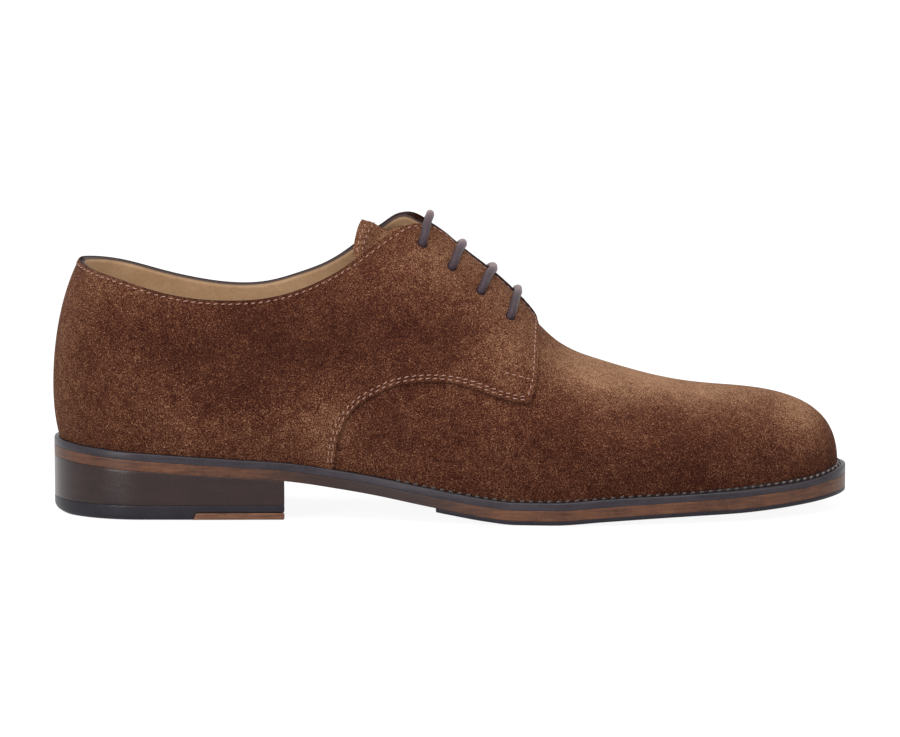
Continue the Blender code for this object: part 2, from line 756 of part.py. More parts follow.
def make_welt():
    """A strip all round the shoe, under the upper's edge and out to the sole's."""
    u = columns_of_last()
    inner = LEDGE + VAMP_WALL + GAP
    outer_line = np.stack(edge(u, 0.0), axis=-1)
    inner_line = np.stack(edge(u, inner), axis=-1)
    rows = np.stack([outer_line, inner_line])
    rows = rows[:, :-1]
    top = lifted(rows, welt_top)
    bottom = lifted(rows, lambda x: outsole_top(x) + GAP)
    count = rows.shape[1]
    points = np.concatenate([top[0], top[1], bottom[1], bottom[0]])
    faces = []
    for k in range(4):
        a, b = k * count, (k + 1) % 4 * count
        faces += [(a + i, a + (i + 1) % count, b + (i + 1) % count, b + i) for i in range(count)]
    link(bpy.data.objects.new("welt", mesh_of("welt", points, faces)), "welt")


def make_sole():
    make_welt()
    make_layer("outsole", "sole_leather", plan_rows(0, 0, SOLE_LENGTH, count=30), underside, outsole_top)
    make_layer(
        "insole", "lining",
        plan_rows(LEDGE + VAMP_WALL + 3 * GAP, 0, SOLE_LENGTH, count=24),
        lambda x: outsole_top(x) + GAP,
        lambda x: welt_top(x) + INSOLE_RISE,
    )
    make_layer(
        "forefoot_rubber", "rubber", plan_rows(0, RUBBER_START, SOLE_LENGTH, count=36),
        lambda x: underside(x) - GAP - RUBBER_THICK,
        lambda x: underside(x) - GAP,
    )


def heel_tread(x):
    """The tread is flat on the floor and rises a little at the very back."""
    return HEEL_BEVEL * np.clip(1 - np.asarray(x) / HEEL_BEVEL_RUN, 0, 1) ** 2


def make_heel():
    """The built-up heel, and its tip: rubber at the back and above a leather front corner."""
    breast = {"hollow": BREAST_HOLLOW, "slant": BREAST_SLANT, "across": 7}
    rows = plan_rows(0, 0, BREAST, count=9, **breast)
    make_layer(
        "heel_stack", "heel_leather", rows,
        lambda x: TIP_THICK + GAP + 0 * x,
        lambda x: underside(x) - GAP,
    )
    whole = closed_grid("tip", lifted(rows, lambda x: TIP_THICK + 0 * x), lifted(rows, heel_tread))
    corner_x, corner_z, past = INSERT_START, INSERT_THICK + GAP, 0.02
    outline = [
        (corner_x, -past), (BREAST + past, -past), (BREAST + past, corner_z), (corner_x, corner_z),
    ]
    rubber = combined(whole, [("DIFFERENCE", side_prism("corner", outline, outline))])
    link(bpy.data.objects.new("heel_tip_rubber", rubber), "rubber")
    front = plan_rows(0, INSERT_START + GAP, BREAST, count=6, **breast)
    make_layer(
        "heel_tip_leather", "tan_leather", front, lambda x: 0 * x, lambda x: INSERT_THICK + 0 * x
    )


def half_bar(u, a):
    """The middle line of half a lace bar, from inside its eyelet to the facing's edge. It keeps to
    a plane through the eyelet that leans forward, and bends down into the hole."""
    start = surface(u, a, quarter_out(u, a))
    across_plane = np.array((math.cos(LACE_LEAN), 0, -math.sin(LACE_LEAN)))
    shares = np.linspace(a, 1, 60)
    tries = start[0] + np.linspace(-BAR_SEARCH_BACK, BAR_SEARCH_FRONT, 60)
    sections = math.copysign(1, u) * u_of(tries, SOLE_LENGTH - LEDGE)[:, None]
    places = surface(sections, shares[None], quarter_out(sections, shares[None]))
    off = (places - start) @ across_plane
    along = np.array([np.interp(0, off[:, i], sections[:, 0]) for i in range(len(shares))])
    line = surface(along, shares, quarter_out(along, shares))
    run = np.concatenate([[0], np.cumsum(np.linalg.norm(np.diff(line, axis=0), axis=1))])
    beside = np.abs(line[:, 1] - BALL_WIDTH * column("spine", line[:, 0]))
    end = float(np.interp(-FACING_GAP_LOW / 2, -beside, run))
    radius = LACE_RADIUS + EYELET_CLEAR
    at = np.concatenate([radius * np.array(BAR_FIRST_RUN), np.linspace(BAR_REST_RUN * radius, end, 4)])
    lift = np.full(len(at), LACE_RADIUS + LACE_CLEAR)
    lift[:len(BAR_FIRST_LIFT)] *= BAR_FIRST_LIFT
    u_at, a_at = np.interp(at, run, along), np.interp(at, run, shares)
    return surface(u_at, a_at, quarter_out(u_at, a_at) + lift)


def make_laces():
    """Four bars of round lace, each down into an eyelet at both ends and straight across the gap
    between the facings."""
    for number, pair in enumerate(eyelet_places(), start=1):
        lateral, medial = [half_bar(u, a) for u, a in pair]
        points = [*lateral, *medial[::-1]]
        curve = bpy.data.curves.new(f"lace_bar_{number}", "CURVE")
        curve.dimensions = "3D"
        curve.bevel_depth = LACE_RADIUS
        curve.bevel_resolution = 2
        curve.use_fill_caps = True
        line = curve.splines.new("POLY")
        line.points.add(len(points) - 1)
        for point, place in zip(line.points, points):
            point.co = (*place, 1)
        link(bpy.data.objects.new(f"lace_bar_{number}", curve), "lace")


def main():
    for obj in list(bpy.data.objects):
        bpy.data.objects.remove(obj)
    make_upper()
    make_tongue()
    make_sole()
    make_heel()
    make_laces()
    for obj in bpy.data.objects:
        if obj.type == "MESH":
            obj.data.shade_smooth()
            obj.data.set_sharp_from_angle(angle=math.radians(40))


main()
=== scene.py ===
"""The looks of a man's plain suede derby shoe for the right foot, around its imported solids.

Metres, +Z up, toe towards +X, the little toe's side towards -Y. Every surface is worked out on the
same last as the solids, in a frame that starts at the sole's back end, and set back at the end so
that the origin is the middle of the heel tread.
"""

import math

import bmesh
import bpy
import numpy as np
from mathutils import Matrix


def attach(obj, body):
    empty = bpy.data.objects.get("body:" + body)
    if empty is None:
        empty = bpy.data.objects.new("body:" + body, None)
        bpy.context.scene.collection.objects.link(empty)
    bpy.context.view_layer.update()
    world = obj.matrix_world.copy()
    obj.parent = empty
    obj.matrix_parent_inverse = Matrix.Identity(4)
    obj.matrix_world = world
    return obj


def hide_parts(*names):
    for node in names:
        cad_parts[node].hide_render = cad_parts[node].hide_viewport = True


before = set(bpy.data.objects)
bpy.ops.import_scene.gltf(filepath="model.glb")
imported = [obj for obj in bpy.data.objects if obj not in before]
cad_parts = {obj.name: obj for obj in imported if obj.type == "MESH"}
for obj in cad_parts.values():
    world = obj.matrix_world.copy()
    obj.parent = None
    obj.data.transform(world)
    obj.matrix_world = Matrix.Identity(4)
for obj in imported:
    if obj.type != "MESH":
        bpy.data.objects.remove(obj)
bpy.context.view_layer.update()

# Driving sizes of the last and its sole, as in the solids.
SOLE_LENGTH = 0.304
BALL_WIDTH = 0.1
INSTEP_HEIGHT = 0.096
SEAT_HEIGHT = 0.0217
TOE_SPRING = 0.0066
GAP = 0.0003
WELT_THICK = 0.003
OUTSOLE_THICK = 0.0037
RUBBER_THICK = 0.0016
INSOLE_RISE = 0.002
VAMP_WALL = 0.0016
QUARTER_STEP = 0.0012
TONGUE_THICK = 0.0018
TIP_THICK = 0.0056
INSERT_THICK = 0.0026
HEEL_BEVEL = 0.0016
HEEL_BEVEL_RUN = 0.009
HEEL_CENTRE = 0.036
ORIGIN_ALONG = 0.042
BREAST = 0.0894
BREAST_SLANT = 0.0026
BREAST_HOLLOW = 0.004
INSERT_START = 0.0555
RUBBER_START = 0.1465
LEDGE = 0.0031
WAIST_LEDGE = 0.0024
WAIST_AT = 0.36
WAIST_SPREAD = 0.13
TOE_ROUND = 0.047
TOE_ROUND_POWER = 2.3
TOE_RISE_RUN = 0.047
TOE_RISE_POWER = 2.52
LACE_RADIUS = 0.0016
LACE_PRESS = 0.0005
LACE_LEAN = 0.0006
BAR_CROWN_RISE = 0.0003
FACING_GAP_TOP = 0.0105
FACING_GAP_LOW = 0.0075
TONGUE_BACK = 0.1186
TONGUE_SIDES_BACK = 0.0056
TONGUE_CORNER = 0.0035
TONGUE_CLEAR = 0.0006
TONGUE_FLARE = 0.0036
TONGUE_FLARE_RUN = 0.005
TONGUE_DIP = 0.0052
TONGUE_FRONT = 0.186
FACING_SLOT_END = 0.1915
FACING_TOP = 0.1
SLOT_END = 0.1765
PEAK = 0.1466
HEEL_SHARE = 0.16
TOE_SHARE = 0.8
BULGE_AT = 0.2
HEEL_BACK_BULGE = 0.021
HEEL_BACK_PULL = 0.55

SECTIONS = (
    # along, sole_lat, sole_med, bulge_lat, bulge_med, bulge_up, ridge_up, side_pull, top_pull, spine
    (0.118, 0.345, 0.340, 0.022, 0.024, 0.190, 0.917, 0.58, 0.56, 0.000),
    (0.200, 0.348, 0.328, 0.026, 0.034, 0.187, 0.922, 0.58, 0.52, 0.003),
    (0.290, 0.348, 0.294, 0.028, 0.052, 0.183, 0.930, 0.55, 0.44, 0.008),
    (0.375, 0.367, 0.262, 0.022, 0.068, 0.178, 0.926, 0.50, 0.37, 0.016),
    (0.445, 0.418, 0.265, 0.014, 0.068, 0.172, 1.043, 0.47, 0.38, 0.024),
    (0.510, 0.468, 0.305, 0.008, 0.046, 0.160, 0.917, 0.46, 0.46, 0.030),
    (0.575, 0.503, 0.363, 0.006, 0.022, 0.148, 0.761, 0.48, 0.50, 0.032),
    (0.625, 0.518, 0.408, 0.006, 0.012, 0.138, 0.594, 0.50, 0.54, 0.032),
    (0.690, 0.512, 0.450, 0.006, 0.008, 0.128, 0.478, 0.52, 0.56, 0.032),
    (0.780, 0.468, 0.456, 0.006, 0.006, 0.120, 0.389, 0.52, 0.58, 0.034),
    (0.860, 0.420, 0.434, 0.005, 0.005, 0.115, 0.354, 0.52, 0.60, 0.038),
    (0.930, 0.355, 0.375, 0.004, 0.004, 0.112, 0.344, 0.52, 0.60, 0.042),
    (1.000, 0.305, 0.325, 0.003, 0.003, 0.110, 0.344, 0.52, 0.60, 0.046),
)
SECTION_COLUMNS = (
    "along", "sole_lat", "sole_med", "bulge_lat", "bulge_med",
    "bulge_up", "ridge_up", "side_pull", "top_pull", "spine",
)
SOLE_PROFILE = (
    # along, seat, spring
    (0.000, 1.000, 0.00), (0.100, 0.870, 0.00), (0.165, 0.795, 0.00), (0.230, 0.730, 0.00),
    (0.295, 0.662, 0.00), (0.362, 0.520, 0.00), (0.412, 0.400, 0.00), (0.460, 0.265, 0.00),
    (0.505, 0.145, 0.00), (0.545, 0.050, 0.00), (0.580, 0.000, 0.00), (0.626, 0.000, 0.00),
    (0.690, 0.000, 0.18), (0.735, 0.000, 0.28), (0.806, 0.000, 0.40), (0.860, 0.000, 0.48),
    (0.910, 0.000, 0.60), (0.955, 0.000, 0.76), (1.000, 0.000, 1.00),
)
COLLAR = (
    # along, lateral, medial
    (0.000, 0.740, 0.740), (0.030, 0.712, 0.718), (0.055, 0.690, 0.709), (0.079, 0.676, 0.699),
    (0.126, 0.642, 0.668), (0.180, 0.618, 0.640), (0.234, 0.620, 0.633), (0.269, 0.634, 0.650),
    (0.305, 0.668, 0.694), (0.338, 0.721, 0.751), (0.365, 0.777, 0.817), (0.395, 0.852, 0.906),
    (0.416, 0.912, 0.965), (0.436, 0.965, 1.014), (0.449, 0.992, 1.021), (0.465, 1.000, 1.003),
    (0.482, 0.995, 0.990),
)
QUARTER_EDGE = (
    # along, up
    (0.3555, -0.060), (0.3570, 0.040), (0.3620, 0.130), (0.3710, 0.200), (0.3860, 0.264),
    (0.4062, 0.316), (0.4289, 0.363), (0.4576, 0.400), (0.4842, 0.419), (0.5191, 0.421),
    (0.5572, 0.398), (0.5855, 0.382), (0.5984, 0.379), (0.6049, 0.443), (0.6074, 0.541),
    (0.6072, 0.637), (0.6060, 0.760),
)
EDGE_CORNER = 12
EYELETS = (
    # along, up
    (0.5724, 0.684), (0.5362, 0.769), (0.5000, 0.846), (0.4638, 0.917),
)

# Middles of the lace bars where they cross the gap, lowest first.
BAR_CROWNS = (
    # x, z
    (0.1785, 0.0835), (0.1690, 0.0917), (0.1573, 0.1019), (0.1448, 0.1103),
)

# Finish of the upper.
SKIRT = -0.016
SUEDE_THICK = 0.0008
QUARTER_CLEAR = 0.00002
CUT_EDGE_ROUND = 0.0004
NEAR_FACING_LIFT = 0.0006
FAR_FACING_LIFT = 0.0011
THREAD_RADIUS = 0.0002
STITCH_PITCH = 0.0028
STITCH_LENGTH = 0.0018
STITCH_LEAN = 10
STITCH_SUNK = 0.35
STITCH_BEND = 1.3
EYELET_RADIUS = 0.00178
LACE_FLAT = 0.17
LACE_INSIDE = -0.0019

# Where the facings stand higher on the tongue: share of a section, and along the last.
LIFT_FROM = 0.68
LIFT_RUN = 0.25
LIFT_ALONG = 0.47
LIFT_ALONG_RUN = 0.08

# Roundings of the quarter's corners: at the throat, on each side, and at the collar's peak.
THROAT_ROUND = {-1: 0.0075, 1: 0.0105}
PEAK_ROUND = 0.0062
# Where the facing's edge begins, in front of the slot's end.
FACING_START = 0.187

# The groove under a row of stitches: its place from the outline, depth and width.
GROOVE_ROW = 0.0023
GROOVE_DEPTH = 0.00013
GROOVE_WIDTH = 0.00045

# Rows of stitches: distances from the quarter's edge, and from the tongue's end.
COLLAR_ROW = 0.0015
FACING_ROW = 0.0019
ARCH_ROWS = (0.0012, 0.0025)
TONGUE_ROWS = (0.0016, 0.0031)
CORNER_PITCH = 0.0024

# The vamp's hidden back edge: its place at the waist, how far it moves forwards up to the throat
# and at the ridge, and the shares of a section where that starts and how long it takes.
VAMP_BACK = 0.096
VAMP_BACK_RISE = (0.0785, 0.34, 0.24)
VAMP_BACK_TOP = (0.002, 0.8, 0.2)
VAMP_EDGE_DROP = 0.0003
VAMP_EDGE_FADE = 60

# The lining: its clearance under the quarters and under the vamp, how far before the vamp's edge
# it steps down and over what run, its top edge's rounding, and the share from which it is dyed.
LINING_CLEAR = 0.00003
LINING_VAMP_CLEAR = 0.00002
LINING_STEP = (0.012, 0.01)
LINING_ROUND = 0.0005
LINING_ROUND_FROM = 0.985
LINING_DYED = (0.986, 0.01)

# The tongue: its width at its front end, how much it gains, where its corners' rounding starts
# and how quickly its end falls back, as shares; then its suede's thickness.
TONGUE_HALF = 0.2
TONGUE_SPREAD = 0.09
TONGUE_CORNER_FROM = 0.75
TONGUE_END_SHAPE = 0.22
TONGUE_SUEDE = 0.001
# Distances from the tongue's end: where its dip starts and ends, and how long each takes.
TONGUE_DIP_FROM = (0.002, 0.0045)
TONGUE_DIP_TO = (0.021, 0.012)

# How light the nap lies where no blob of painted light and shade reaches, and how much lighter on the
# tongue.
TONE_BASE = 0.37
TONGUE_TONE = 0.25

# The welt: where its stitches lie, how far its edge drops and how far it turns up at the toe.
WELT_ROW = 0.0021
# Each change along it has a place where it starts and a length, as shares of SOLE_LENGTH.
WELT_DROP = 0.00035
WELT_DROP_TOE = 0.0011
WELT_DROP_AT = (0.7, 0.24)
TOE_TURN = 0.0012
TOE_TURN_AT = (0.76, 0.14)
TIP_TURN = 0.0019
TIP_TURN_AT = (0.945, 0.055)
TIP_TURN_POWER = 1.6
SEWN_AT = (0.40, 0.06)
WELT_TOP = (
    # inset, share of the drop, further down, only where it is sewn (1 yes), how dark it is: dye and
    # painted shade under the upper
    (LEDGE + VAMP_WALL + GAP, 0, 0, 0, 1), (0.0036, 0, 0, 0, 1), (0.0028, 0.25, 0, 0, 1),
    (0.0024, 0.45, 0.00008, 1, 1), (WELT_ROW, 0.6, 0.00034, 1, 1), (0.0018, 0.7, 0.00008, 1, 1),
    (0.0011, 0.9, 0.00002, 0, 0.7), (0.0004, 1, 0.0001, 0, 0), (0.00012, 1, 0.00035, 0, 0),
    (0.00001, 1, 0.0009, 0, 0),
)
WELT_FOOT = (
    # inset, height over its underside
    (0, 0.0002), (0.00002, 0.00003), (0.0003, 0), (LEDGE + VAMP_WALL + GAP, 0),
)
WELT_STITCH_START = 0.43
WELT_STITCH_PITCH = 0.0034
WELT_STITCH_LENGTH = 0.0021
WELT_STITCH_LEAN = 20
WELT_STITCH_SUNK = 0.00018
WELT_THREAD_RADIUS = 0.00042
WELT_ROW_SLOPE = 0.6
# Where the sole's edge is stained darkest, how far that reaches, and how dark it is.
WAIST_STAIN = (0.120, 0.037, 0.9)

# The lace: how deep it starts in its hole, how its depth inside changes beside a hole, how far its
# hidden runs bend towards the ridge, how far its path and its squeeze are smoothed, how much wider
# it is when pressed, and how near the middle of a bar it carries a painted highlight.
HOLE_DEPTHS = (0.15, 0.7)
HOLE_INSET = 0.0002
INSIDE_NEAR = 0.0018
INSIDE_START = -0.0008
BEND_TOP_LEFT = -0.0034
BEND_RIGHT = 0.0032
BEND_TOP_RIGHT = -0.0036
BEND_END = 0.003
LACE_SOFT = 0.0006
SQUEEZE_SOFT = 0.0007
LACE_SPREAD = 0.12
CROWN_HIGHLIGHT_FULL = 1.15
CROWN_HIGHLIGHT_REACH = 0.0115

# The camera of the photograph, in a frame of 900 x 737 pixels.
CAMERA_AIM = (0.11, 0.0, 0.05)
CAMERA_DISTANCE = 1.7
CAMERA_ELEVATION = math.radians(7)
CAMERA_LENS = 177.38
FRAME_WIDTH = 900
FRAME_SHIFT = (-0.5 / FRAME_WIDTH, 9.0 / FRAME_WIDTH)


def spline(table, column, along):
    """A curve through one column of a table that never overshoots its rows (Fritsch-Carlson)."""
    rows = np.array(table, float)
    x, y = rows[:, 0], rows[:, column]
    step = np.diff(x)
    slope = np.diff(y) / step
    tangent = np.zeros(len(x))
    inner = slope[:-1] * slope[1:] > 0
    w1, w2 = 2 * step[1:] + step[:-1], step[1:] + 2 * step[:-1]
    safe = np.where(inner, slope[:-1], 1.0), np.where(inner, slope[1:], 1.0)
    tangent[1:-1] = np.where(inner, (w1 + w2) / (w1 / safe[0] + w2 / safe[1]), 0.0)
    tangent[0], tangent[-1] = slope[0], slope[-1]
    return hermite(x, y, tangent, along)


def soft_spline(table, column, along):
    """The natural cubic spline through one column of a table, smooth in its curvature."""
    rows = np.array(table, float)
    x, y = rows[:, 0], rows[:, column]
    step = np.diff(x)
    slope = np.diff(y) / step
    matrix = np.diag(np.concatenate([[2.0], 2 * (step[:-1] + step[1:]), [2.0]]))
    matrix += np.diag(np.concatenate([[1.0], step[:-1]]), 1)
    matrix += np.diag(np.concatenate([step[1:], [1.0]]), -1)
    right = np.concatenate([
        [3 * slope[0]], 3 * (step[1:] * slope[:-1] + step[:-1] * slope[1:]), [3 * slope[-1]],
    ])
    return hermite(x, y, np.linalg.solve(matrix, right), along)


def hermite(x, y, tangent, along):
    """Cubic pieces through points with given tangents, held straight past both ends."""
    at = np.asarray(along, float)
    inside = np.clip(at, x[0], x[-1])
    i = np.clip(np.searchsorted(x, inside) - 1, 0, len(x) - 2)
    h = x[i + 1] - x[i]
    t = (inside - x[i]) / h
    value = (
        (2 * t**3 - 3 * t**2 + 1) * y[i]
        + (t**3 - 2 * t**2 + t) * h * tangent[i]
        + (3 * t**2 - 2 * t**3) * y[i + 1]
        + (t**3 - t**2) * h * tangent[i + 1]
    )
    past = np.where(at > x[-1], (at - x[-1]) * tangent[-1], 0.0)
    return value + past


def column(name, x):
    """One named column of SECTIONS at places x along the last."""
    return soft_spline(SECTIONS, SECTION_COLUMNS.index(name), np.asarray(x) / SOLE_LENGTH)


def rounded_end(distance, run, power):
    """0 at the tip of the toe, 1 from run inwards, along a superellipse."""
    share = np.clip(1 - np.asarray(distance) / run, 0, 1)
    return (1 - share**power) ** (1 / power)


def underside(x):
    """Height of the leather outsole's underside above the floor."""
    along = np.clip(np.asarray(x) / SOLE_LENGTH, 0, 1.02)
    low = RUBBER_THICK + GAP
    seat, spring = spline(SOLE_PROFILE, 1, along), spline(SOLE_PROFILE, 2, along)
    return low + (SEAT_HEIGHT - low) * seat + TOE_SPRING * spring


def outsole_top(x):
    """Height of the outsole's upper face."""
    return underside(x) + OUTSOLE_THICK


def welt_top(x):
    """Height of the welt's upper face where it meets the upper."""
    return outsole_top(x) + GAP + WELT_THICK


def ledge(x):
    """Width of the welt that shows outside the upper: a little less along the waist."""
    near = np.exp(-(((np.asarray(x) / SOLE_LENGTH - WAIST_AT) / WAIST_SPREAD) ** 2))
    return LEDGE + (WAIST_LEDGE - LEDGE) * near


def heel_angle(u):
    """Turn of the fan of sections round the heel: 0 at its sides, a right angle at the back."""
    return np.clip(1 - np.abs(u) / HEEL_SHARE, 0, 1) * math.pi / 2


def x_of(u, tip):
    """Place along the last of section u: even steps to the toe's rounding, then a sine."""
    size = np.abs(u)
    start = tip - TOE_ROUND
    middle = np.clip((size - HEEL_SHARE) / (TOE_SHARE - HEEL_SHARE), 0, 1)
    toe = np.clip((size - TOE_SHARE) / (1 - TOE_SHARE), 0, 1)
    return HEEL_CENTRE + (start - HEEL_CENTRE) * middle + TOE_ROUND * np.sin(toe * math.pi / 2)


def u_of(x, tip):
    """The section at place x, the other way round from x_of."""
    start = tip - TOE_ROUND
    middle = np.clip((np.asarray(x) - HEEL_CENTRE) / (start - HEEL_CENTRE), 0, 1)
    toe = np.arcsin(np.clip((np.asarray(x) - start) / TOE_ROUND, 0, 1)) / (math.pi / 2)
    return HEEL_SHARE + (TOE_SHARE - HEEL_SHARE) * middle + (1 - TOE_SHARE) * toe


def sole_half(x, medial):
    """Half width of the sole on one side of the spine."""
    return BALL_WIDTH * np.where(medial, column("sole_med", x), column("sole_lat", x))


def fan(u, side, back, x, spine, medial):
    """Plan place at distance side or back from the spine: straight out along the last, and an
    ellipse with half axes back and side round the heel."""
    angle = heel_angle(u)
    size = np.sqrt(np.maximum((back * np.cos(angle)) ** 2 + (side * np.sin(angle)) ** 2, 1e-18))
    reach = side * back / size
    out = np.where(medial, 1.0, -1.0) * np.cos(angle)
    return x - reach * np.sin(angle), spine + reach * out


def edge(u, inset):
    """Plan outline of a sole layer, set in from the sole's edge. u below 0 is the little toe's side."""
    u, inset = np.broadcast_arrays(np.asarray(u, float), np.asarray(inset, float))
    medial = u > 0
    tip = SOLE_LENGTH - inset
    x = x_of(u, tip)
    half = (sole_half(x, medial) - inset) * rounded_end(tip - x, TOE_ROUND, TOE_ROUND_POWER)
    return fan(u, half, HEEL_CENTRE - inset, x, BALL_WIDTH * column("spine", x), medial)


def bezier(p0, p1, p2, p3, t):
    """A cubic Bezier curve."""
    s = 1 - t
    return s**3 * p0 + 3 * s**2 * t * p1 + 3 * s * t**2 * p2 + t**3 * p3


def section(out, bulge, bulge_up, ridge_up, side_pull, top_pull, a):
    """Distance from the spine and height above the welt along one section: a Bezier curve from
    the feather edge, a = 0, out to the widest place, and another over to the ridge, a = 1."""
    wide = out + bulge
    low = np.clip(a / BULGE_AT, 0, 1)
    high = np.clip((a - BULGE_AT) / (1 - BULGE_AT), 0, 1)
    lower = a < BULGE_AT
    reach = np.where(
        lower,
        bezier(out, out + 0.6 * bulge, wide, wide, low),
        bezier(wide, wide, top_pull * wide, 0 * wide, high),
    )
    up = np.where(
        lower,
        bezier(0 * wide, 0.25 * bulge_up, 0.6 * bulge_up, bulge_up, low),
        bezier(bulge_up, bulge_up + side_pull * (ridge_up - bulge_up), ridge_up, ridge_up, high),
    )
    return reach, up


def last_point(u, a):
    """The vamp's outer surface at section u and share a. Below a = 0 it goes straight down, into
    the seam with the welt."""
    u, a = np.broadcast_arrays(np.asarray(u, float), np.asarray(a, float))
    medial = u > 0
    x = x_of(u, SOLE_LENGTH - LEDGE)
    toe = rounded_end(SOLE_LENGTH - LEDGE - x, TOE_ROUND, TOE_ROUND_POWER)
    rise = rounded_end(SOLE_LENGTH - LEDGE - x, TOE_RISE_RUN, TOE_RISE_POWER)
    inset = ledge(x)
    out = (sole_half(x, medial) - inset) * toe
    bulge = BALL_WIDTH * np.where(medial, column("bulge_med", x), column("bulge_lat", x)) * toe
    bulge_up = INSTEP_HEIGHT * column("bulge_up", x) * rise
    ridge_up = INSTEP_HEIGHT * column("ridge_up", x) * rise
    pulls = column("side_pull", x), column("top_pull", x)
    side, up = section(out, bulge, bulge_up, ridge_up, *pulls, a)
    back, back_up = section(
        HEEL_CENTRE - inset, BALL_WIDTH * HEEL_BACK_BULGE, bulge_up, ridge_up,
        HEEL_BACK_PULL, HEEL_BACK_PULL, a,
    )
    turned = np.sin(heel_angle(u)) ** 2
    px, py = fan(u, side, back, x, BALL_WIDTH * column("spine", x), medial)
    up = up * (1 - turned) + back_up * turned + INSTEP_HEIGHT * np.minimum(a, 0)
    return np.stack([px, py, welt_top(px) + GAP + up], axis=-1)


def normal_at(u, a):
    """The surface's outward normal, from small steps both ways along it."""
    step = 1e-4
    u, a = np.broadcast_arrays(np.asarray(u, float), np.asarray(a, float))
    inner = np.clip(a, step, 1 - 6e-3)
    along = last_point(u + step, inner) - last_point(u - step, inner)
    up = last_point(u, inner + step) - last_point(u, inner - step)
    return unit(np.cross(up, along))


def surface(u, a, out=0.0):
    """last_point moved outwards along the normal, with the soft creases of wear."""
    base = last_point(u, a)
    return base + (np.asarray(out) + creases(base, a))[..., None] * normal_at(u, a)


# Soft hollows and swells of the worn-in leather. A place is a point in side view.
CREASES = (
    # x, z, side (-1 little toe's, 1 other, 0 both), lean in degrees, length, width, depth
    (0.2245, 0.0485, 0, 62, 0.017, 0.0042, -0.00045),
    (0.2330, 0.0420, -1, 68, 0.014, 0.0036, -0.0004),
    (0.2420, 0.0450, 0, 70, 0.015, 0.0040, -0.0004),
    (0.2130, 0.0440, -1, 55, 0.014, 0.0050, -0.0005),
    (0.2330, 0.0480, 0, 66, 0.014, 0.0040, 0.0003),
    (0.1980, 0.0380, -1, 48, 0.016, 0.0060, -0.0005),
    (0.0900, 0.0560, -1, 20, 0.022, 0.0090, -0.0006),
    (0.1330, 0.0740, -1, -38, 0.024, 0.0100, -0.0005),
    (0.0380, 0.0500, -1, 10, 0.020, 0.0110, -0.0004),
)


def creases(points, a):
    """Sum of long soft bumps: each is a Gaussian across its line times one along it, in side view."""
    total = np.zeros(points.shape[:-1])
    for x, z, side, lean, length, width, depth in CREASES:
        cos, sin = math.cos(math.radians(lean)), math.sin(math.radians(lean))
        dx, dz = points[..., 0] - x, points[..., 2] - z
        along, across = dx * cos + dz * sin, -dx * sin + dz * cos
        bump = depth * np.exp(-((along / length) ** 2) - (across / width) ** 2)
        if side:
            bump = bump * eased(0.5 + side * points[..., 1] / 0.02)
        total += bump
    return total * eased(np.asarray(a) / 0.08) * eased((0.93 - np.asarray(a)) / 0.2)


def eased(share):
    """0 to 1 with a level start and end."""
    inside = np.clip(share, 0, 1)
    return inside**2 * (3 - 2 * inside)


def quarter_out(u, a):
    """How far the quarters stand off the vamp's surface: more where the facings lie on the tongue,
    the big toe's side the higher of the two."""
    along = x_of(u, SOLE_LENGTH - LEDGE) / SOLE_LENGTH
    lift = np.where(u > 0, FAR_FACING_LIFT, NEAR_FACING_LIFT)
    over = eased((a - LIFT_FROM) / LIFT_RUN) * eased((along - LIFT_ALONG) / LIFT_ALONG_RUN)
    return QUARTER_STEP + lift * over


# ---------------------------------------------------------------- lines drawn on the last


def share_where(u, above, out=quarter_out):
    """For each section u, the share a at which above(points) turns from below 0 to above it,
    found between two of 400 steps up the section."""
    shares = np.linspace(0, 1, 400)
    columns = u[:, None]
    points = last_point(columns, shares)
    points = points + out(columns, shares[None])[..., None] * normal_at(columns, shares)
    value = above(points)
    first = np.clip((value < 0).sum(axis=1), 1, len(shares) - 1)
    row = np.arange(len(u))
    before, after = value[row, first - 1], value[row, first]
    part = np.clip(-before / np.where(after == before, 1, after - before), 0, 1)
    return shares[first - 1] + part * shares[1]


def share_at(u, height, out=quarter_out):
    """Share a at which each section u reaches its height above the floor."""
    return share_where(u, lambda p: p[..., 2] - np.asarray(height)[..., None], out)


def side_line(table, count, side=1):
    """A smooth side-view line through a table of shares, by the distance run along it."""
    rows = np.array(table, float)
    x = rows[:, 0] * SOLE_LENGTH
    z = welt_top(x) + rows[:, side] * INSTEP_HEIGHT
    run = np.concatenate([[0], np.cumsum(np.hypot(np.diff(x), np.diff(z)))])
    at = np.linspace(0, run[-1], count)
    table = np.stack([run, x, z], axis=1)
    return soft_spline(table, 1, at), soft_spline(table, 2, at)


def collar_share(u, side):
    """Share a of the collar's edge at sections u of one side."""
    x, z = side_line(COLLAR, 300, 1 if side < 0 else 2)
    return share_where(u, lambda p: p[..., 2] - np.interp(p[..., 0], x, z))


def facing_share(u):
    """Share a of the facing's edge at sections u: a straight gap in plan, wider at its top."""
    radius = FACING_GAP_LOW / 2
    centre = FACING_SLOT_END - radius

    def inside(points):
        far = np.clip((centre - points[..., 0]) / (centre - FACING_TOP), 0, 1)
        half = radius + (FACING_GAP_TOP / 2 - radius) * far
        return half - np.abs(points[..., 1] - BALL_WIDTH * column("spine", points[..., 0]))

    return share_where(u, inside)


def unit(vectors):
    """Vectors at length 1."""
    return vectors / np.maximum(np.linalg.norm(vectors, axis=-1, keepdims=True), 1e-15)


def run_along(points):
    """The distance run along a line, at each of its points."""
    return np.concatenate([[0], np.cumsum(np.linalg.norm(np.diff(points, axis=0), axis=1))])


def at_run(at, run, values):
    """Rows of values where the distance run is at."""
    return np.stack([np.interp(at, run, value) for value in values.T], axis=1)


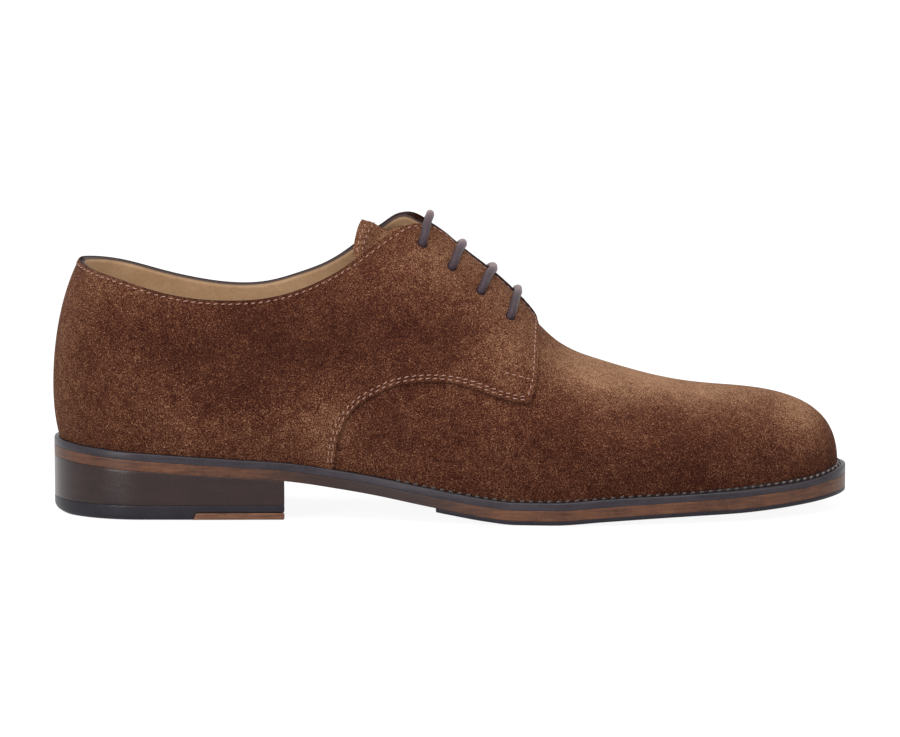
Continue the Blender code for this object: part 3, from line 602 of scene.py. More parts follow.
def evenly(line, count):
    """A line of (u, a) places again, at equal steps along the surface."""
    run = run_along(surface(line[:, 0], line[:, 1]))
    return at_run(np.linspace(0, run[-1], count), run, line)


def rounded_corner(first, second, radius):
    """Two lines of (u, a) places that meet, as one line with its corner cut by a Bezier curve
    whose ends lie one radius from it."""
    before, after = [run_along(surface(line[:, 0], line[:, 1])) for line in (first, second)]
    before = before[-1] - before
    start = np.array([np.interp(-radius, -before, first[:, k]) for k in (0, 1)])
    end = np.array([np.interp(radius, after, second[:, k]) for k in (0, 1)])
    t = np.linspace(0, 1, 24)[:, None]
    curve = (1 - t) ** 2 * start + 2 * t * (1 - t) * first[-1] + t**2 * end
    return np.concatenate([first[before > radius], curve, second[after > radius]])


def inwards(loop, distance):
    """A closed loop of (u, a) places moved to its inside by a distance on the surface: across the
    tangent, in the plane that touches the surface, and further at corners."""
    here = surface(loop[:, 0], loop[:, 1])
    ahead = unit(np.roll(here, -1, axis=0) - here)
    behind = np.roll(ahead, 1, axis=0)
    both = ahead + behind
    length = np.linalg.norm(both, axis=1, keepdims=True)
    across = np.cross(normal_at(loop[:, 0], loop[:, 1]), both / np.maximum(length, 1e-9))
    across /= np.clip(length / 2, 0.6, 1)
    step = loop_step(loop, across)
    flat = np.roll(loop, -1, axis=0) - np.roll(loop, 1, axis=0)
    same = np.sign(np.sum(step[:, 0] * -flat[:, 1] + step[:, 1] * flat[:, 0]))
    return loop + distance * turning(loop) * same * step


def turning(loop):
    """1 for a flat loop that runs anticlockwise, -1 for the other way."""
    x, y = loop[:, 0], loop[:, 1]
    return np.sign(np.sum(x * np.roll(y, -1) - y * np.roll(x, -1)))


def loop_step(places, move):
    """The change of (u, a) that moves a place by a small step in space: least squares on the
    surface's two tangents."""
    small = 1e-4
    u, a = places[..., 0], np.clip(places[..., 1], small, 1 - 6e-3)
    du = (last_point(u + small, a) - last_point(u - small, a)) / (2 * small)
    da = (last_point(u, a + small) - last_point(u, a - small)) / (2 * small)
    e, f, g = (du * du).sum(-1), (du * da).sum(-1), (da * da).sum(-1)
    p, q = (move * du).sum(-1), (move * da).sum(-1)
    size = np.maximum(e * g - f * f, 1e-18)
    return np.stack([(g * p - f * q) / size, (e * q - f * p) / size], axis=-1)


def coons(bottom, right, top, left):
    """Places inside four edges: the blend across plus the blend up, less the corners' blend."""
    s = np.linspace(0, 1, len(bottom))[None, :, None]
    t = np.linspace(0, 1, len(left))[:, None, None]
    up = (1 - t) * bottom[None] + t * top[None]
    across = (1 - s) * left[:, None] + s * right[:, None]
    corners = (
        (1 - s) * (1 - t) * bottom[0] + s * (1 - t) * bottom[-1]
        + (1 - s) * t * top[0] + s * t * top[-1]
    )
    return up + across - corners


# ---------------------------------------------------------------- meshes


def grid_faces(rows, columns, first=0):
    """Quads of a grid of points stored row after row."""
    corner = first + np.arange(rows * columns).reshape(rows, columns)
    faces = [corner[:-1, :-1], corner[:-1, 1:], corner[1:, 1:], corner[1:, :-1]]
    return np.stack([f.ravel() for f in faces], axis=1)


def strip_faces(first, second):
    """Quads between two closed rows of point numbers."""
    return np.stack([first, np.roll(first, -1), np.roll(second, -1), second], axis=1)


def border(rows, columns, first=0):
    """Point numbers round a grid, in order: along its first row and then round."""
    corner = first + np.arange(rows * columns).reshape(rows, columns)
    return np.concatenate([corner[0, :-1], corner[:-1, -1], corner[-1, :0:-1], corner[:0:-1, 0]])


def piece(name, points, faces, material, replaces=(), values=None, weld=2e-6, uv=None):
    """A finished piece from points in the last's frame: doubles merged, faces outwards, values
    kept as attributes of its points, riding on the shoe's only body."""
    mesh = bpy.data.meshes.new(name)
    points = np.array(points, float).reshape(-1, 3) - (ORIGIN_ALONG, 0, 0)
    used = np.zeros(len(points), bool)
    used[np.asarray(faces).ravel()] = True
    number = np.cumsum(used) - 1
    mesh.from_pydata(points[used].tolist(), [], number[np.asarray(faces)].tolist())
    for key, value in (values or {}).items():
        attribute = mesh.attributes.new(key, "FLOAT", "POINT")
        attribute.data.foreach_set("value", np.asarray(value, np.float32).ravel()[used])
    if uv is not None:
        corners = np.zeros(len(mesh.loops), np.int32)
        mesh.loops.foreach_get("vertex_index", corners)
        layer = mesh.uv_layers.new(name="UVMap")
        layer.data.foreach_set("uv", np.asarray(uv, np.float32).reshape(-1, 2)[used][corners].ravel())
    body = bmesh.new()
    body.from_mesh(mesh)
    if weld:
        bmesh.ops.remove_doubles(body, verts=body.verts, dist=weld)
        bmesh.ops.dissolve_degenerate(body, dist=weld / 2, edges=body.edges)
    bmesh.ops.recalc_face_normals(body, faces=body.faces)
    if body.calc_volume(signed=True) < 0:
        bmesh.ops.reverse_faces(body, faces=body.faces)
    body.to_mesh(mesh)
    body.free()
    mesh.shade_smooth()
    mesh.materials.append(material)
    obj = bpy.data.objects.new(name, mesh)
    bpy.context.scene.collection.objects.link(obj)
    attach(obj, "root")
    if replaces:
        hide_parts(*replaces)
    return obj


# Angles of a cut edge's quarter circle.
ROUNDING = np.radians([0, 25, 50, 72, 90])
# Cut edges are dark above this height, partly edge dye and partly painted shade: where it starts, and
# how soon it is full.
DYE_AND_SHADE_ABOVE = (0.069, 0.007)
DYE_AND_SHADE_LEAST = 0.12


def panel(name, loop, sizes, low, high, material, replaces, eyelets):
    """A cut piece of leather on the last. Its outline is a closed loop of (u, a) places, its
    middle a Coons grid of them, its thickness from low(u, a) to high(u, a), and its cut edge a
    quarter circle. sizes are the numbers of steps along its bottom and right edges."""
    across, up = sizes
    inner = inwards(loop, CUT_EDGE_ROUND)
    # How dark each cut edge is: edge dye, and painted shade high up on the facings and collar.
    above = surface(loop[:, 0], loop[:, 1])[:, 2] - DYE_AND_SHADE_ABOVE[0]
    edge_dye_and_shade = DYE_AND_SHADE_LEAST + (1 - DYE_AND_SHADE_LEAST) * eased(above / DYE_AND_SHADE_ABOVE[1])
    ends = np.concatenate([inner, inner[:1]])
    bottom, right = ends[: across + 1], ends[across: across + up + 1]
    top, left = ends[across + up: 2 * across + up + 1][::-1], ends[2 * across + up:][::-1]
    grid = coons(bottom, right, top, left)
    rows, columns = grid.shape[:2]
    keep = np.ones((rows - 1, columns - 1), bool)
    drop = np.zeros((rows, columns))
    holes = []
    for place in eyelets:
        grid, drop, keep, hole = punched(grid, drop, keep, place)
        holes.append(hole)
    u, a = grid[..., 0], grid[..., 1]
    outer = surface(u, a, high(u, a) - drop)
    under = surface(u, a, low(u, a))
    count = rows * columns
    points, faces = [outer.reshape(-1, 3), under.reshape(-1, 3)], []
    quads = grid_faces(rows, columns)[keep.ravel()]
    faces += [quads, quads[:, ::-1] + count]
    ring_dye_and_shade = [np.zeros(count), np.zeros(count)]
    before = border(rows, columns)
    number = 2 * count
    for angle in ROUNDING[-2::-1]:
        share = 1 - math.cos(angle)
        ring = loop * (1 - share) + inner * share
        out = high(ring[:, 0], ring[:, 1]) - CUT_EDGE_ROUND * (1 - math.sin(angle))
        points.append(surface(ring[:, 0], ring[:, 1], out))
        ring_dye_and_shade.append((1 - 0.8 * share) * edge_dye_and_shade)
        after = number + np.arange(len(loop))
        faces.append(strip_faces(before, after))
        before, number = after, number + len(loop)
    points.append(surface(loop[:, 0], loop[:, 1], low(loop[:, 0], loop[:, 1])))
    ring_dye_and_shade.append(edge_dye_and_shade)
    after = number + np.arange(len(loop))
    faces += [strip_faces(before, after), strip_faces(after, border(rows, columns, count))]
    for hole in holes:
        faces.append(strip_faces(hole, hole + count))
        # The holes' edges are fully dark: edge dye and painted shade.
        ring_dye_and_shade[0][hole] = 1
    points, faces = np.concatenate(points), np.concatenate(faces)
    return piece(
        name, points, faces, material, replaces,
        {"dye_and_shade": np.concatenate(ring_dye_and_shade), "nap_and_painted_light": nap_and_painted_light(points)},
    )


# A hole's half size and the reach of its rings, in cells, and its first rings: how far each lies
# from the hole's edge, and how far it is sunk.
HOLE_HALF = 2
HOLE_REACH = 6
HOLE_RINGS = (0, 1, 2, 3)
HOLE_APART = (0, 0.00015, 0.0006, 0.0016)
HOLE_SUNK = (0.0004, 0.0001, 0.00002, 0)


def punched(grid, drop, keep, place):
    """A grid of (u, a) places drawn apart round a point, so that a block of its cells becomes a
    round hole: the square rings round the block become circles that blend into the grid."""
    half, reach = HOLE_HALF, HOLE_REACH
    centre = np.array(place)
    middle = surface(centre[0], centre[1])
    at = surface(grid[..., 0], grid[..., 1])
    rows, columns = grid.shape[:2]
    i, j = np.unravel_index(np.argmin(np.linalg.norm(at - middle, axis=-1)), (rows, columns))
    i = int(np.clip(i, half + 2, rows - half - 3))
    j = int(np.clip(j, half + 2, columns - half - 3))
    r, c = np.meshgrid(np.arange(rows) - i, np.arange(columns) - j, indexing="ij")
    ring = np.maximum(np.abs(r), np.abs(c))
    normal = normal_at(centre[0], centre[1])
    from_middle = at - middle
    from_middle = from_middle - (from_middle @ normal)[..., None] * normal
    far = np.maximum(np.linalg.norm(from_middle, axis=-1, keepdims=True), 1e-9)
    # Directions come from the block's own shape, so that its middle may lie off the point.
    turn = np.arctan2(r, c)
    right = at[i, j + 1] - at[i, j - 1]
    right = unit(right - (right @ normal) * normal)
    up = np.cross(normal, right)
    if (at[i + 1, j] - at[i - 1, j]) @ up < 0:
        up = -up
    wheel = np.cos(turn)[..., None] * right + np.sin(turn)[..., None] * up
    blend = eased((ring - half) / (reach - half))[..., None]
    direction = unit(wheel * (1 - blend) + from_middle / far * blend)
    near = EYELET_RADIUS + np.interp(ring - half, HOLE_RINGS, HOLE_APART)[..., None]
    size = near * (1 - blend) + far * blend
    target = direction * size
    moved = centre + loop_step(np.broadcast_to(centre, grid.shape), target)
    fixed = np.where(ring[..., None] < reach, moved, grid)
    on_edge = np.ones((rows, columns, 1), bool)
    on_edge[1:-1, 1:-1] = False
    fixed = np.where(on_edge, grid, fixed)
    sunk = np.interp(ring - half, HOLE_RINGS, HOLE_SUNK)
    drop = np.maximum(drop, np.where(ring >= half, sunk, 0))
    cells = np.maximum(np.abs(r[:-1, :-1] + 0.5), np.abs(c[:-1, :-1] + 0.5)) < half
    keep = keep & ~cells
    numbers = np.arange(rows * columns).reshape(rows, columns)
    block = numbers[i - half: i + half + 1, j - half: j + half + 1]
    return fixed, drop, keep, block.ravel()[border(*block.shape)]


def nap_and_painted_light(points):
    """How light the suede is painted, 0 to 1: the nap's base level plus soft blobs in side view of
    painted light and shade.
    """
    x, z = points[..., 0], points[..., 2]
    value = np.full(x.shape, TONE_BASE)
    for cx, cz, wide, high, gain in NAP_AND_LIGHT_BLOBS:
        value += gain * np.exp(-(((x - cx) / wide) ** 2) - ((z - cz) / high) ** 2)
    return np.clip(value, 0, 1)


# Blobs of painted light and shade over the nap's own tone: gains above 0 are painted highlights, below
# 0 painted shade.
NAP_AND_LIGHT_BLOBS = (
    # x, z, half width, half height, gain
    (0.175, 0.075, 0.014, 0.022, 0.30),
    (0.150, 0.100, 0.022, 0.012, 0.26),
    (0.134, 0.070, 0.017, 0.018, -0.10),
    (0.080, 0.060, 0.046, 0.022, -0.13),
    (0.104, 0.036, 0.012, 0.020, 0.24),
    (0.050, 0.036, 0.032, 0.011, 0.09),
    (0.003, 0.050, 0.010, 0.034, 0.16),
    (0.022, 0.088, 0.022, 0.010, 0.14),
    (0.206, 0.062, 0.018, 0.010, 0.38),
    (0.243, 0.054, 0.040, 0.011, 0.78),
    (0.287, 0.040, 0.014, 0.012, 0.44),
    (0.176, 0.026, 0.026, 0.014, -0.08),
    (0.222, 0.025, 0.024, 0.010, -0.10),
    (0.255, 0.013, 0.060, 0.008, -0.12),
)


# ---------------------------------------------------------------- upper


def quarter_edges(side):
    """The quarter's bottom edge (feather edge, then the seam's arch), its right edge (front edge,
    then facing), its top edge (collar) and its left edge (the back seam), as (u, a) places."""
    tip = SOLE_LENGTH - LEDGE
    low = side_line(QUARTER_EDGE[:EDGE_CORNER + 1], 200)
    high = side_line(QUARTER_EDGE[EDGE_CORNER:], 80)
    x, z = [np.concatenate([first, second[1:]]) for first, second in zip(low, high)]
    u = side * u_of(x, tip)
    line = np.stack([u, np.where(z < welt_top(x) + GAP, SKIRT, share_at(u, z))], axis=1)
    corner = len(low[0]) - 1
    start = int(np.argmax(line[:, 1] > 0.004))
    first_u = abs(line[start, 0])
    feather = np.stack([side * np.linspace(1e-6, first_u, 160), np.full(160, SKIRT)], axis=1)
    arch = line[start:corner + 1]
    front = line[corner:]
    peak_u = float(u_of(PEAK, tip))
    facing_u = side * np.linspace(float(u_of(FACING_START, tip)), peak_u, 200)
    facing = np.stack([facing_u, facing_share(facing_u)], axis=1)
    # The front edge ends where it meets the facing.
    limit = np.interp(np.abs(front[:, 0]), np.abs(facing[::-1, 0]), facing[::-1, 1])
    reached = int(np.argmax(front[:, 1] > limit)) or len(front)
    front = front[:reached]
    facing = facing[np.abs(facing[:, 0]) < abs(front[-1, 0]) + 1e-9]
    height = np.interp(abs(front[-1, 0]), np.abs(facing[::-1, 0]), facing[::-1, 1])
    meet = np.array([[front[-1, 0], height]])
    front, facing = np.concatenate([front, meet]), np.concatenate([meet, facing])
    collar_u = side * np.linspace(1e-6, peak_u, 260)
    collar = np.stack([collar_u, collar_share(collar_u, side)], axis=1)
    # The collar ends where it meets the facing.
    limit = np.interp(np.abs(collar[:, 0]), np.abs(facing[::-1, 0]), facing[::-1, 1], left=2)
    over = int(np.argmax(collar[:, 1] > limit)) or len(collar)
    collar = collar[:over]
    facing = facing[np.abs(facing[:, 0]) > abs(collar[-1, 0])]
    facing = np.concatenate([facing, collar[-1:]])
    return feather, arch, front, facing, collar


def quarter_loop(side, across=250, up=96):
    """The quarter's closed outline, at even steps, with its corners rounded."""
    feather, arch, front, facing, collar = quarter_edges(side)
    right = rounded_corner(front, facing, THROAT_ROUND[side])
    # The peak's rounding is shared between the right and the top edge, split at its middle.
    whole = rounded_corner(right, collar[::-1], PEAK_ROUND)
    from_peak = surface(whole[:, 0], whole[:, 1]) - surface(*collar[-1])
    split = int(np.argmin(np.linalg.norm(from_peak, axis=1)))
    right, top = whole[: split + 1], whole[split:]
    bottom = np.concatenate([feather[:-1], arch])
    back = np.stack([np.full(60, top[-1, 0]), np.linspace(top[-1, 1], SKIRT, 60)], axis=1)
    bottom, right = evenly(bottom, across + 1), evenly(right, up + 1)
    top, back = evenly(top, across + 1), evenly(back, up + 1)
    return np.concatenate([bottom[:-1], right[:-1], top[:-1], back[:-1]]), (across, up)


def eyelet_places():
    """Section and share of the eyelets, lowest pair first, each pair at one height."""
    pairs = []
    for along, up in EYELETS:
        u = np.array([-1.0, 1.0]) * float(u_of(along * SOLE_LENGTH, SOLE_LENGTH - LEDGE))
        height = welt_top(along * SOLE_LENGTH) + GAP + up * INSTEP_HEIGHT
        share = share_at(u, np.full(2, height), out=lambda s, b: 0 * (s + b))
        pairs.append(list(zip(u, share)))
    return pairs


def seam_groove(u, a, loop):
    """How far the leather sinks under its row of stitches: a small Gaussian at the row's distance
    from the outline."""
    at = surface(u, a)
    line = surface(loop[:, 0], loop[:, 1])
    shape = at.shape[:-1]
    flat = at.reshape(-1, 3)
    near = np.full(len(flat), 1.0)
    for start in range(0, len(line), 64):
        gap = np.linalg.norm(flat[:, None] - line[None, start:start + 64], axis=-1).min(axis=1)
        near = np.minimum(near, gap)
    return GROOVE_DEPTH * np.exp(-(((near - GROOVE_ROW) / GROOVE_WIDTH) ** 2)).reshape(shape)


def make_quarter(side):
    """One quarter of suede with its facing, from the back seam to the front edge."""
    loop, sizes = quarter_loop(side)
    name = "quarter_lateral" if side < 0 else "quarter_medial"
    eyelets = [pair[0 if side < 0 else 1] for pair in eyelet_places()]

    def outer(u, a):
        if u.ndim < 2:
            return quarter_out(u, a)
        return quarter_out(u, a) - seam_groove(u, a, loop)

    panel(
        name, loop, sizes, lambda u, a: 0 * u + QUARTER_CLEAR, outer,
        SUEDE, ("upper",), eyelets,
    )
    return loop, sizes


def vamp_back(a):
    """Where the vamp's hidden back edge runs, under the quarters: at the waist low down, and up
    at the throat."""
    place = VAMP_BACK
    for far, start, length in (VAMP_BACK_RISE, VAMP_BACK_TOP):
        place = place + far * eased((a - start) / length)
    return place


def make_vamp():
    """The vamp, from its back edges under the quarters round the toe: a grid across from one
    feather edge over the ridge to the other, and along to the tip."""
    rows, columns = 150, 190
    tip = SOLE_LENGTH - LEDGE
    v = np.linspace(-1, 1, rows)[:, None]
    a = (1 - np.abs(v)) * (1 - SKIRT) + SKIRT
    start = u_of(vamp_back(a), tip)
    share = np.linspace(0, 1, columns)[None, :]
    u = np.where(v < 0, -1.0, 1.0) * (start + (1 - start) * share)
    a = np.broadcast_to(a, u.shape)
    edge_drop = VAMP_EDGE_DROP * np.exp(-share * VAMP_EDGE_FADE) * np.ones_like(u)
    top = surface(u, a, -edge_drop)
    low = surface(u, a, -SUEDE_THICK)
    points, faces = closed(top, low)
    values = {"dye_and_shade": np.zeros(len(points)), "nap_and_painted_light": nap_and_painted_light(points)}
    piece("vamp", points, faces, SUEDE, ("upper",), values, weld=1e-5)


def closed(top, low):
    """The points and faces of the solid between two grids of points."""
    rows, columns = top.shape[:2]
    count = rows * columns
    faces = np.concatenate([
        grid_faces(rows, columns), grid_faces(rows, columns, count)[:, ::-1],
        strip_faces(border(rows, columns), border(rows, columns, count)),
    ])
    return np.concatenate([top.reshape(-1, 3), low.reshape(-1, 3)]), faces


def make_lining(loops):
    """The leather lining inside quarters and vamp. Its top edge is the quarters' own outline, read
    off at each section, and closed over the ridge in front of the slot."""
    rows, columns = 60, 300
    tip = SOLE_LENGTH - LEDGE
    slot_end = float(u_of(SLOT_END, tip))
    halves = []
    for (loop, (across, up)), side in zip(loops, (-1, 1)):
        outline = loop[across: 2 * across + up + 1]
        outline = np.abs(outline[:, 0]), outline[:, 1]
        order = np.argsort(outline[0])
        size = np.maximum(np.linspace(0, 1, columns // 2), 1e-6)
        top = np.where(size > slot_end, 1.0, np.interp(size, outline[0][order], outline[1][order]))
        halves.append(np.stack([side * size, top], axis=1))
    line = np.concatenate([halves[0][::-1], halves[1][1:]])
    u = line[None, :, 0]
    share = np.linspace(0, 1, rows)[:, None] ** 0.8
    a = SKIRT + (line[None, :, 1] - SKIRT) * share
    u = np.broadcast_to(u, a.shape)
    ahead = eased((x_of(u, tip) - vamp_back(a) + LINING_STEP[0]) / LINING_STEP[1])
    outer = -LINING_CLEAR - (SUEDE_THICK + LINING_VAMP_CLEAR) * ahead
    at_top = np.clip((share - LINING_ROUND_FROM) / (1 - LINING_ROUND_FROM), 0, 1)
    rounding = LINING_ROUND * at_top**2 * (np.abs(u) < slot_end)
    top = surface(u, a, outer)
    low = surface(u, a, -VAMP_WALL + rounding)
    points, faces = closed(top, low)
    rim = eased((share - LINING_DYED[0]) / LINING_DYED[1]) * (np.abs(u) < slot_end)
    values = {"dye_and_shade": np.concatenate([rim.ravel(), rim.ravel()])}
    piece("lining", points, faces, LINING, ("upper",), values, weld=1e-5)


def tongue_sheet(place, run):
    """The tongue's top: section and share of each place, and how far it lies off the last. Its end
    falls back from its middle to its sides and flares up, and it is sunk in front of that."""
    back = TONGUE_BACK - TONGUE_SIDES_BACK * place**2 / (place**2 + TONGUE_END_SHAPE)
    corner = np.clip((np.abs(place) - TONGUE_CORNER_FROM) / (1 - TONGUE_CORNER_FROM), 0, 1)
    back = back + TONGUE_CORNER * corner**2
    x = TONGUE_FRONT + (back - TONGUE_FRONT) * run
    share = 1 - (TONGUE_HALF + TONGUE_SPREAD * run) * np.abs(place)
    u = np.where(place < 0, -1.0, 1.0) * u_of(x, SOLE_LENGTH - LEDGE)
    from_end = x - back
    flare = TONGUE_FLARE * np.clip(1 - from_end / TONGUE_FLARE_RUN, 0, 1) ** 2
    into, out_of = [
        eased((from_end - start) / length) for start, length in (TONGUE_DIP_FROM, TONGUE_DIP_TO)
    ]
    dip = TONGUE_DIP * into * (1 - out_of)
    return u, share, flare * (1 - place**2) ** 2 - dip * (1 - place**4) - VAMP_WALL - TONGUE_CLEAR


def make_tongue():
    """The tongue: suede over lining, its free end standing up inside the collar."""
    rows, across = 110, 61
    run = 1 - (1 - np.linspace(0, 1, rows)[:, None]) ** 1.3
    u, share, high = tongue_sheet(np.linspace(-1, 1, across)[None, :], run)
    end = np.clip((run - 0.985) / 0.015, 0, 1) ** 2
    for name, top, low, material, slot in (
        ("tongue", high - 0.0003 * end, high - TONGUE_SUEDE, SUEDE, "suede"),
        ("tongue_lining", high - TONGUE_SUEDE - 0.00002, high - TONGUE_THICK, LINING, "lining"),
    ):
        points, faces = closed(surface(u, share, top), surface(u, share, low))
        values = {"dye_and_shade": np.zeros(len(points)), "nap_and_painted_light": nap_and_painted_light(points) + TONGUE_TONE}
        values = values if name == "tongue" else None
        piece(name, points, faces, material, ("tongue",), values)


# ---------------------------------------------------------------- stitches


def beads(points, pitch):
    """Places at an even pitch along a line: the distance run there, their points and directions."""
    run = run_along(points)
    count = max(int(run[-1] / pitch), 1)
    at = (np.arange(count) + 0.5) * run[-1] / count
    ahead = at_run(at + 2e-4, run, points) - at_run(at - 2e-4, run, points)
    return at, run, at_run(at, run, points), unit(ahead)


def stitch_places(line, pitch=STITCH_PITCH, out=quarter_out):
    """Middles, directions and normals of stitches at an even pitch along a line of (u, a) places."""
    off = out(line[:, 0], line[:, 1]) if callable(out) else out
    at, run, middle, ahead = beads(surface(line[:, 0], line[:, 1], off), pitch)
    return middle, ahead, normal_at(*at_run(at, run, line).T)


def make_stitches(name, rows, length, radius, material, lean):
    """A row of stitches as one mesh: each a short thick thread whose middle line is an arc, high in
    its middle and pulled into the leather at its ends."""
    middle, ahead, normal = [np.concatenate(part) for part in zip(*rows)]
    side = np.cross(normal, ahead)
    turn = math.radians(lean)
    along = math.cos(turn) * ahead + math.sin(turn) * side
    side = np.cross(normal, along)
    rings, around = 7, 8
    s = np.linspace(-1, 1, rings)
    angle = np.linspace(0, 2 * math.pi, around, endpoint=False)
    width = radius * (1 - np.abs(s) ** 3) ** 0.5
    height = radius * (1 - STITCH_SUNK) - STITCH_BEND * radius * s**4
    shape = np.stack([
        np.broadcast_to(s[:, None] * length / 2, (rings, around)),
        width[:, None] * np.cos(angle), height[:, None] + width[:, None] * np.sin(angle),
    ], axis=-1)
    axes = np.stack([along, side, normal], axis=1)
    points = middle[:, None, None] + np.einsum("rsk,nkd->nrsd", shape, axes)
    first = np.arange(len(middle))[:, None] * rings * around
    ring = np.arange(around)
    faces = [strip_faces(r * around + ring, (r + 1) * around + ring) for r in range(rings - 1)]
    faces = (first[..., None] + np.concatenate(faces)[None]).reshape(-1, 4)
    return piece(name, points.reshape(-1, 3), faces, material, weld=1e-6)


def inset_line(loop, distance):
    """A loop of (u, a) places set in by a distance, in three steps."""
    for _ in range(3):
        loop = inwards(loop, distance / 3)
    return loop


def quarter_stitches(loops):
    """Thread rows of both quarters: one along collar, facing and front edge, two along the arch,
    and a short row across the front corner. Two more hold the tongue's end."""
    rows = []
    for (loop, (across, up)), side in zip(loops, (-1, 1)):
        bottom, right = slice(0, across + 1), slice(across, across + up + 1)
        top = slice(across + up, 2 * across + up + 1)
        rows.append(stitch_places(inset_line(loop, COLLAR_ROW)[top]))
        rows.append(stitch_places(inset_line(loop, FACING_ROW)[right][2:]))
        arch = loop[bottom, 1] > 0.02
        for distance in ARCH_ROWS:
            rows.append(stitch_places(inset_line(loop, distance)[bottom][arch][:-2]))
        x = np.linspace(*CORNER_ROW[0], 40)
        z = np.interp(x, *CORNER_ROW)
        u = side * u_of(x, SOLE_LENGTH - LEDGE)
        rows.append(stitch_places(np.stack([u, share_at(u, z)], axis=1), CORNER_PITCH))
    for behind in TONGUE_ROWS:
        place = np.linspace(-0.8, 0.8, 80)
        run = np.full(80, 1 - behind / (TONGUE_FRONT - TONGUE_BACK))
        u, share, high = tongue_sheet(place, run)
        rows.append(stitch_places(np.stack([u, share], axis=1), out=high))
    make_stitches("upper_stitches", rows, STITCH_LENGTH, THREAD_RADIUS, THREAD, STITCH_LEAN)


# Side view of the short row across the quarter's front corner: x, and z.
CORNER_ROW = ((0.1717, 0.1822), (0.0565, 0.0536))


# ---------------------------------------------------------------- sole


def ring_piece(name, insets, heights, material, replaces, stain_and_shade):
    """A closed strip round the sole: a profile of insets from the sole's edge and heights(x),
    carried along the sole's outline. stain is how dark each corner is: dye, and on the welt painted
    shade."""
    half = np.concatenate([
        np.linspace(1, TOE_SHARE, 90)[:-1], np.linspace(TOE_SHARE, HEEL_SHARE, 150)[:-1],
        np.linspace(HEEL_SHARE, 0.0, 60),
    ])
    u = np.concatenate([-half, half[-2:0:-1]])
    x, y = edge(u[None], np.array(insets)[:, None])
    points = np.stack([x, y, np.stack(heights(x))], axis=-1).reshape(-1, 3)
    count, rows = len(u), len(insets)
    loop = np.arange(count)
    faces = np.concatenate([
        strip_faces(k * count + loop, (k + 1) % rows * count + loop) for k in range(rows)
    ])
    return piece(name, points, faces, material, replaces, {"dye_and_shade": np.repeat(stain_and_shade, count)})


def along_share(x, place):
    """How much of a run along the sole lies behind x: place is its start and length."""
    return (np.asarray(x) / SOLE_LENGTH - place[0]) / place[1]


def welt_slope(x):
    """How far the welt's outer edge lies under its seam with the upper: more round the toe."""
    return WELT_DROP + WELT_DROP_TOE * eased(along_share(x, WELT_DROP_AT))


def toe_lift(x):
    """How far the welt turns up against the toe: a little from three quarters of the length on,
    and more at the very tip."""
    tip = np.clip(along_share(x, TIP_TURN_AT), 0, 1)
    return TOE_TURN * eased(along_share(x, TOE_TURN_AT)) + TIP_TURN * tip**TIP_TURN_POWER


def make_welt():
    """The welt: a strip with a sloping top, a stitch groove and rounded edges."""
    table = np.array(WELT_TOP)
    foot = np.array(WELT_FOOT)

    def heights(x):
        top, low = welt_top(x) + toe_lift(x), layer_top(x) + GAP - TOUCH
        drop, groove = welt_slope(x), sewn(x)
        rows = [
            top[k] - drop[k] * share - extra * (groove[k] if sunk else 1)
            for k, (_, share, extra, sunk, _) in enumerate(table)
        ]
        return rows + [low[len(rows) + k] + rise for k, (_, rise) in enumerate(foot)]

    insets = np.concatenate([table[:, 0], foot[:, 0]])
    # The welt's top is dark next to the upper: dye, and painted shade of the upper's edge.
    stain_and_shade = np.concatenate([table[:, 4], 0 * foot[:, 0]])
    ring_piece("welt", insets, heights, WELT, ("welt",), stain_and_shade)


def sewn(x):
    """1 where the welt's stitches show, from the waist forwards, and 0 behind it."""
    return eased(along_share(x, SEWN_AT))


def layer_top(x):
    """Height of the outsole's upper face, with its share of the toe's lift."""
    return outsole_top(x) + 0.5 * toe_lift(x)


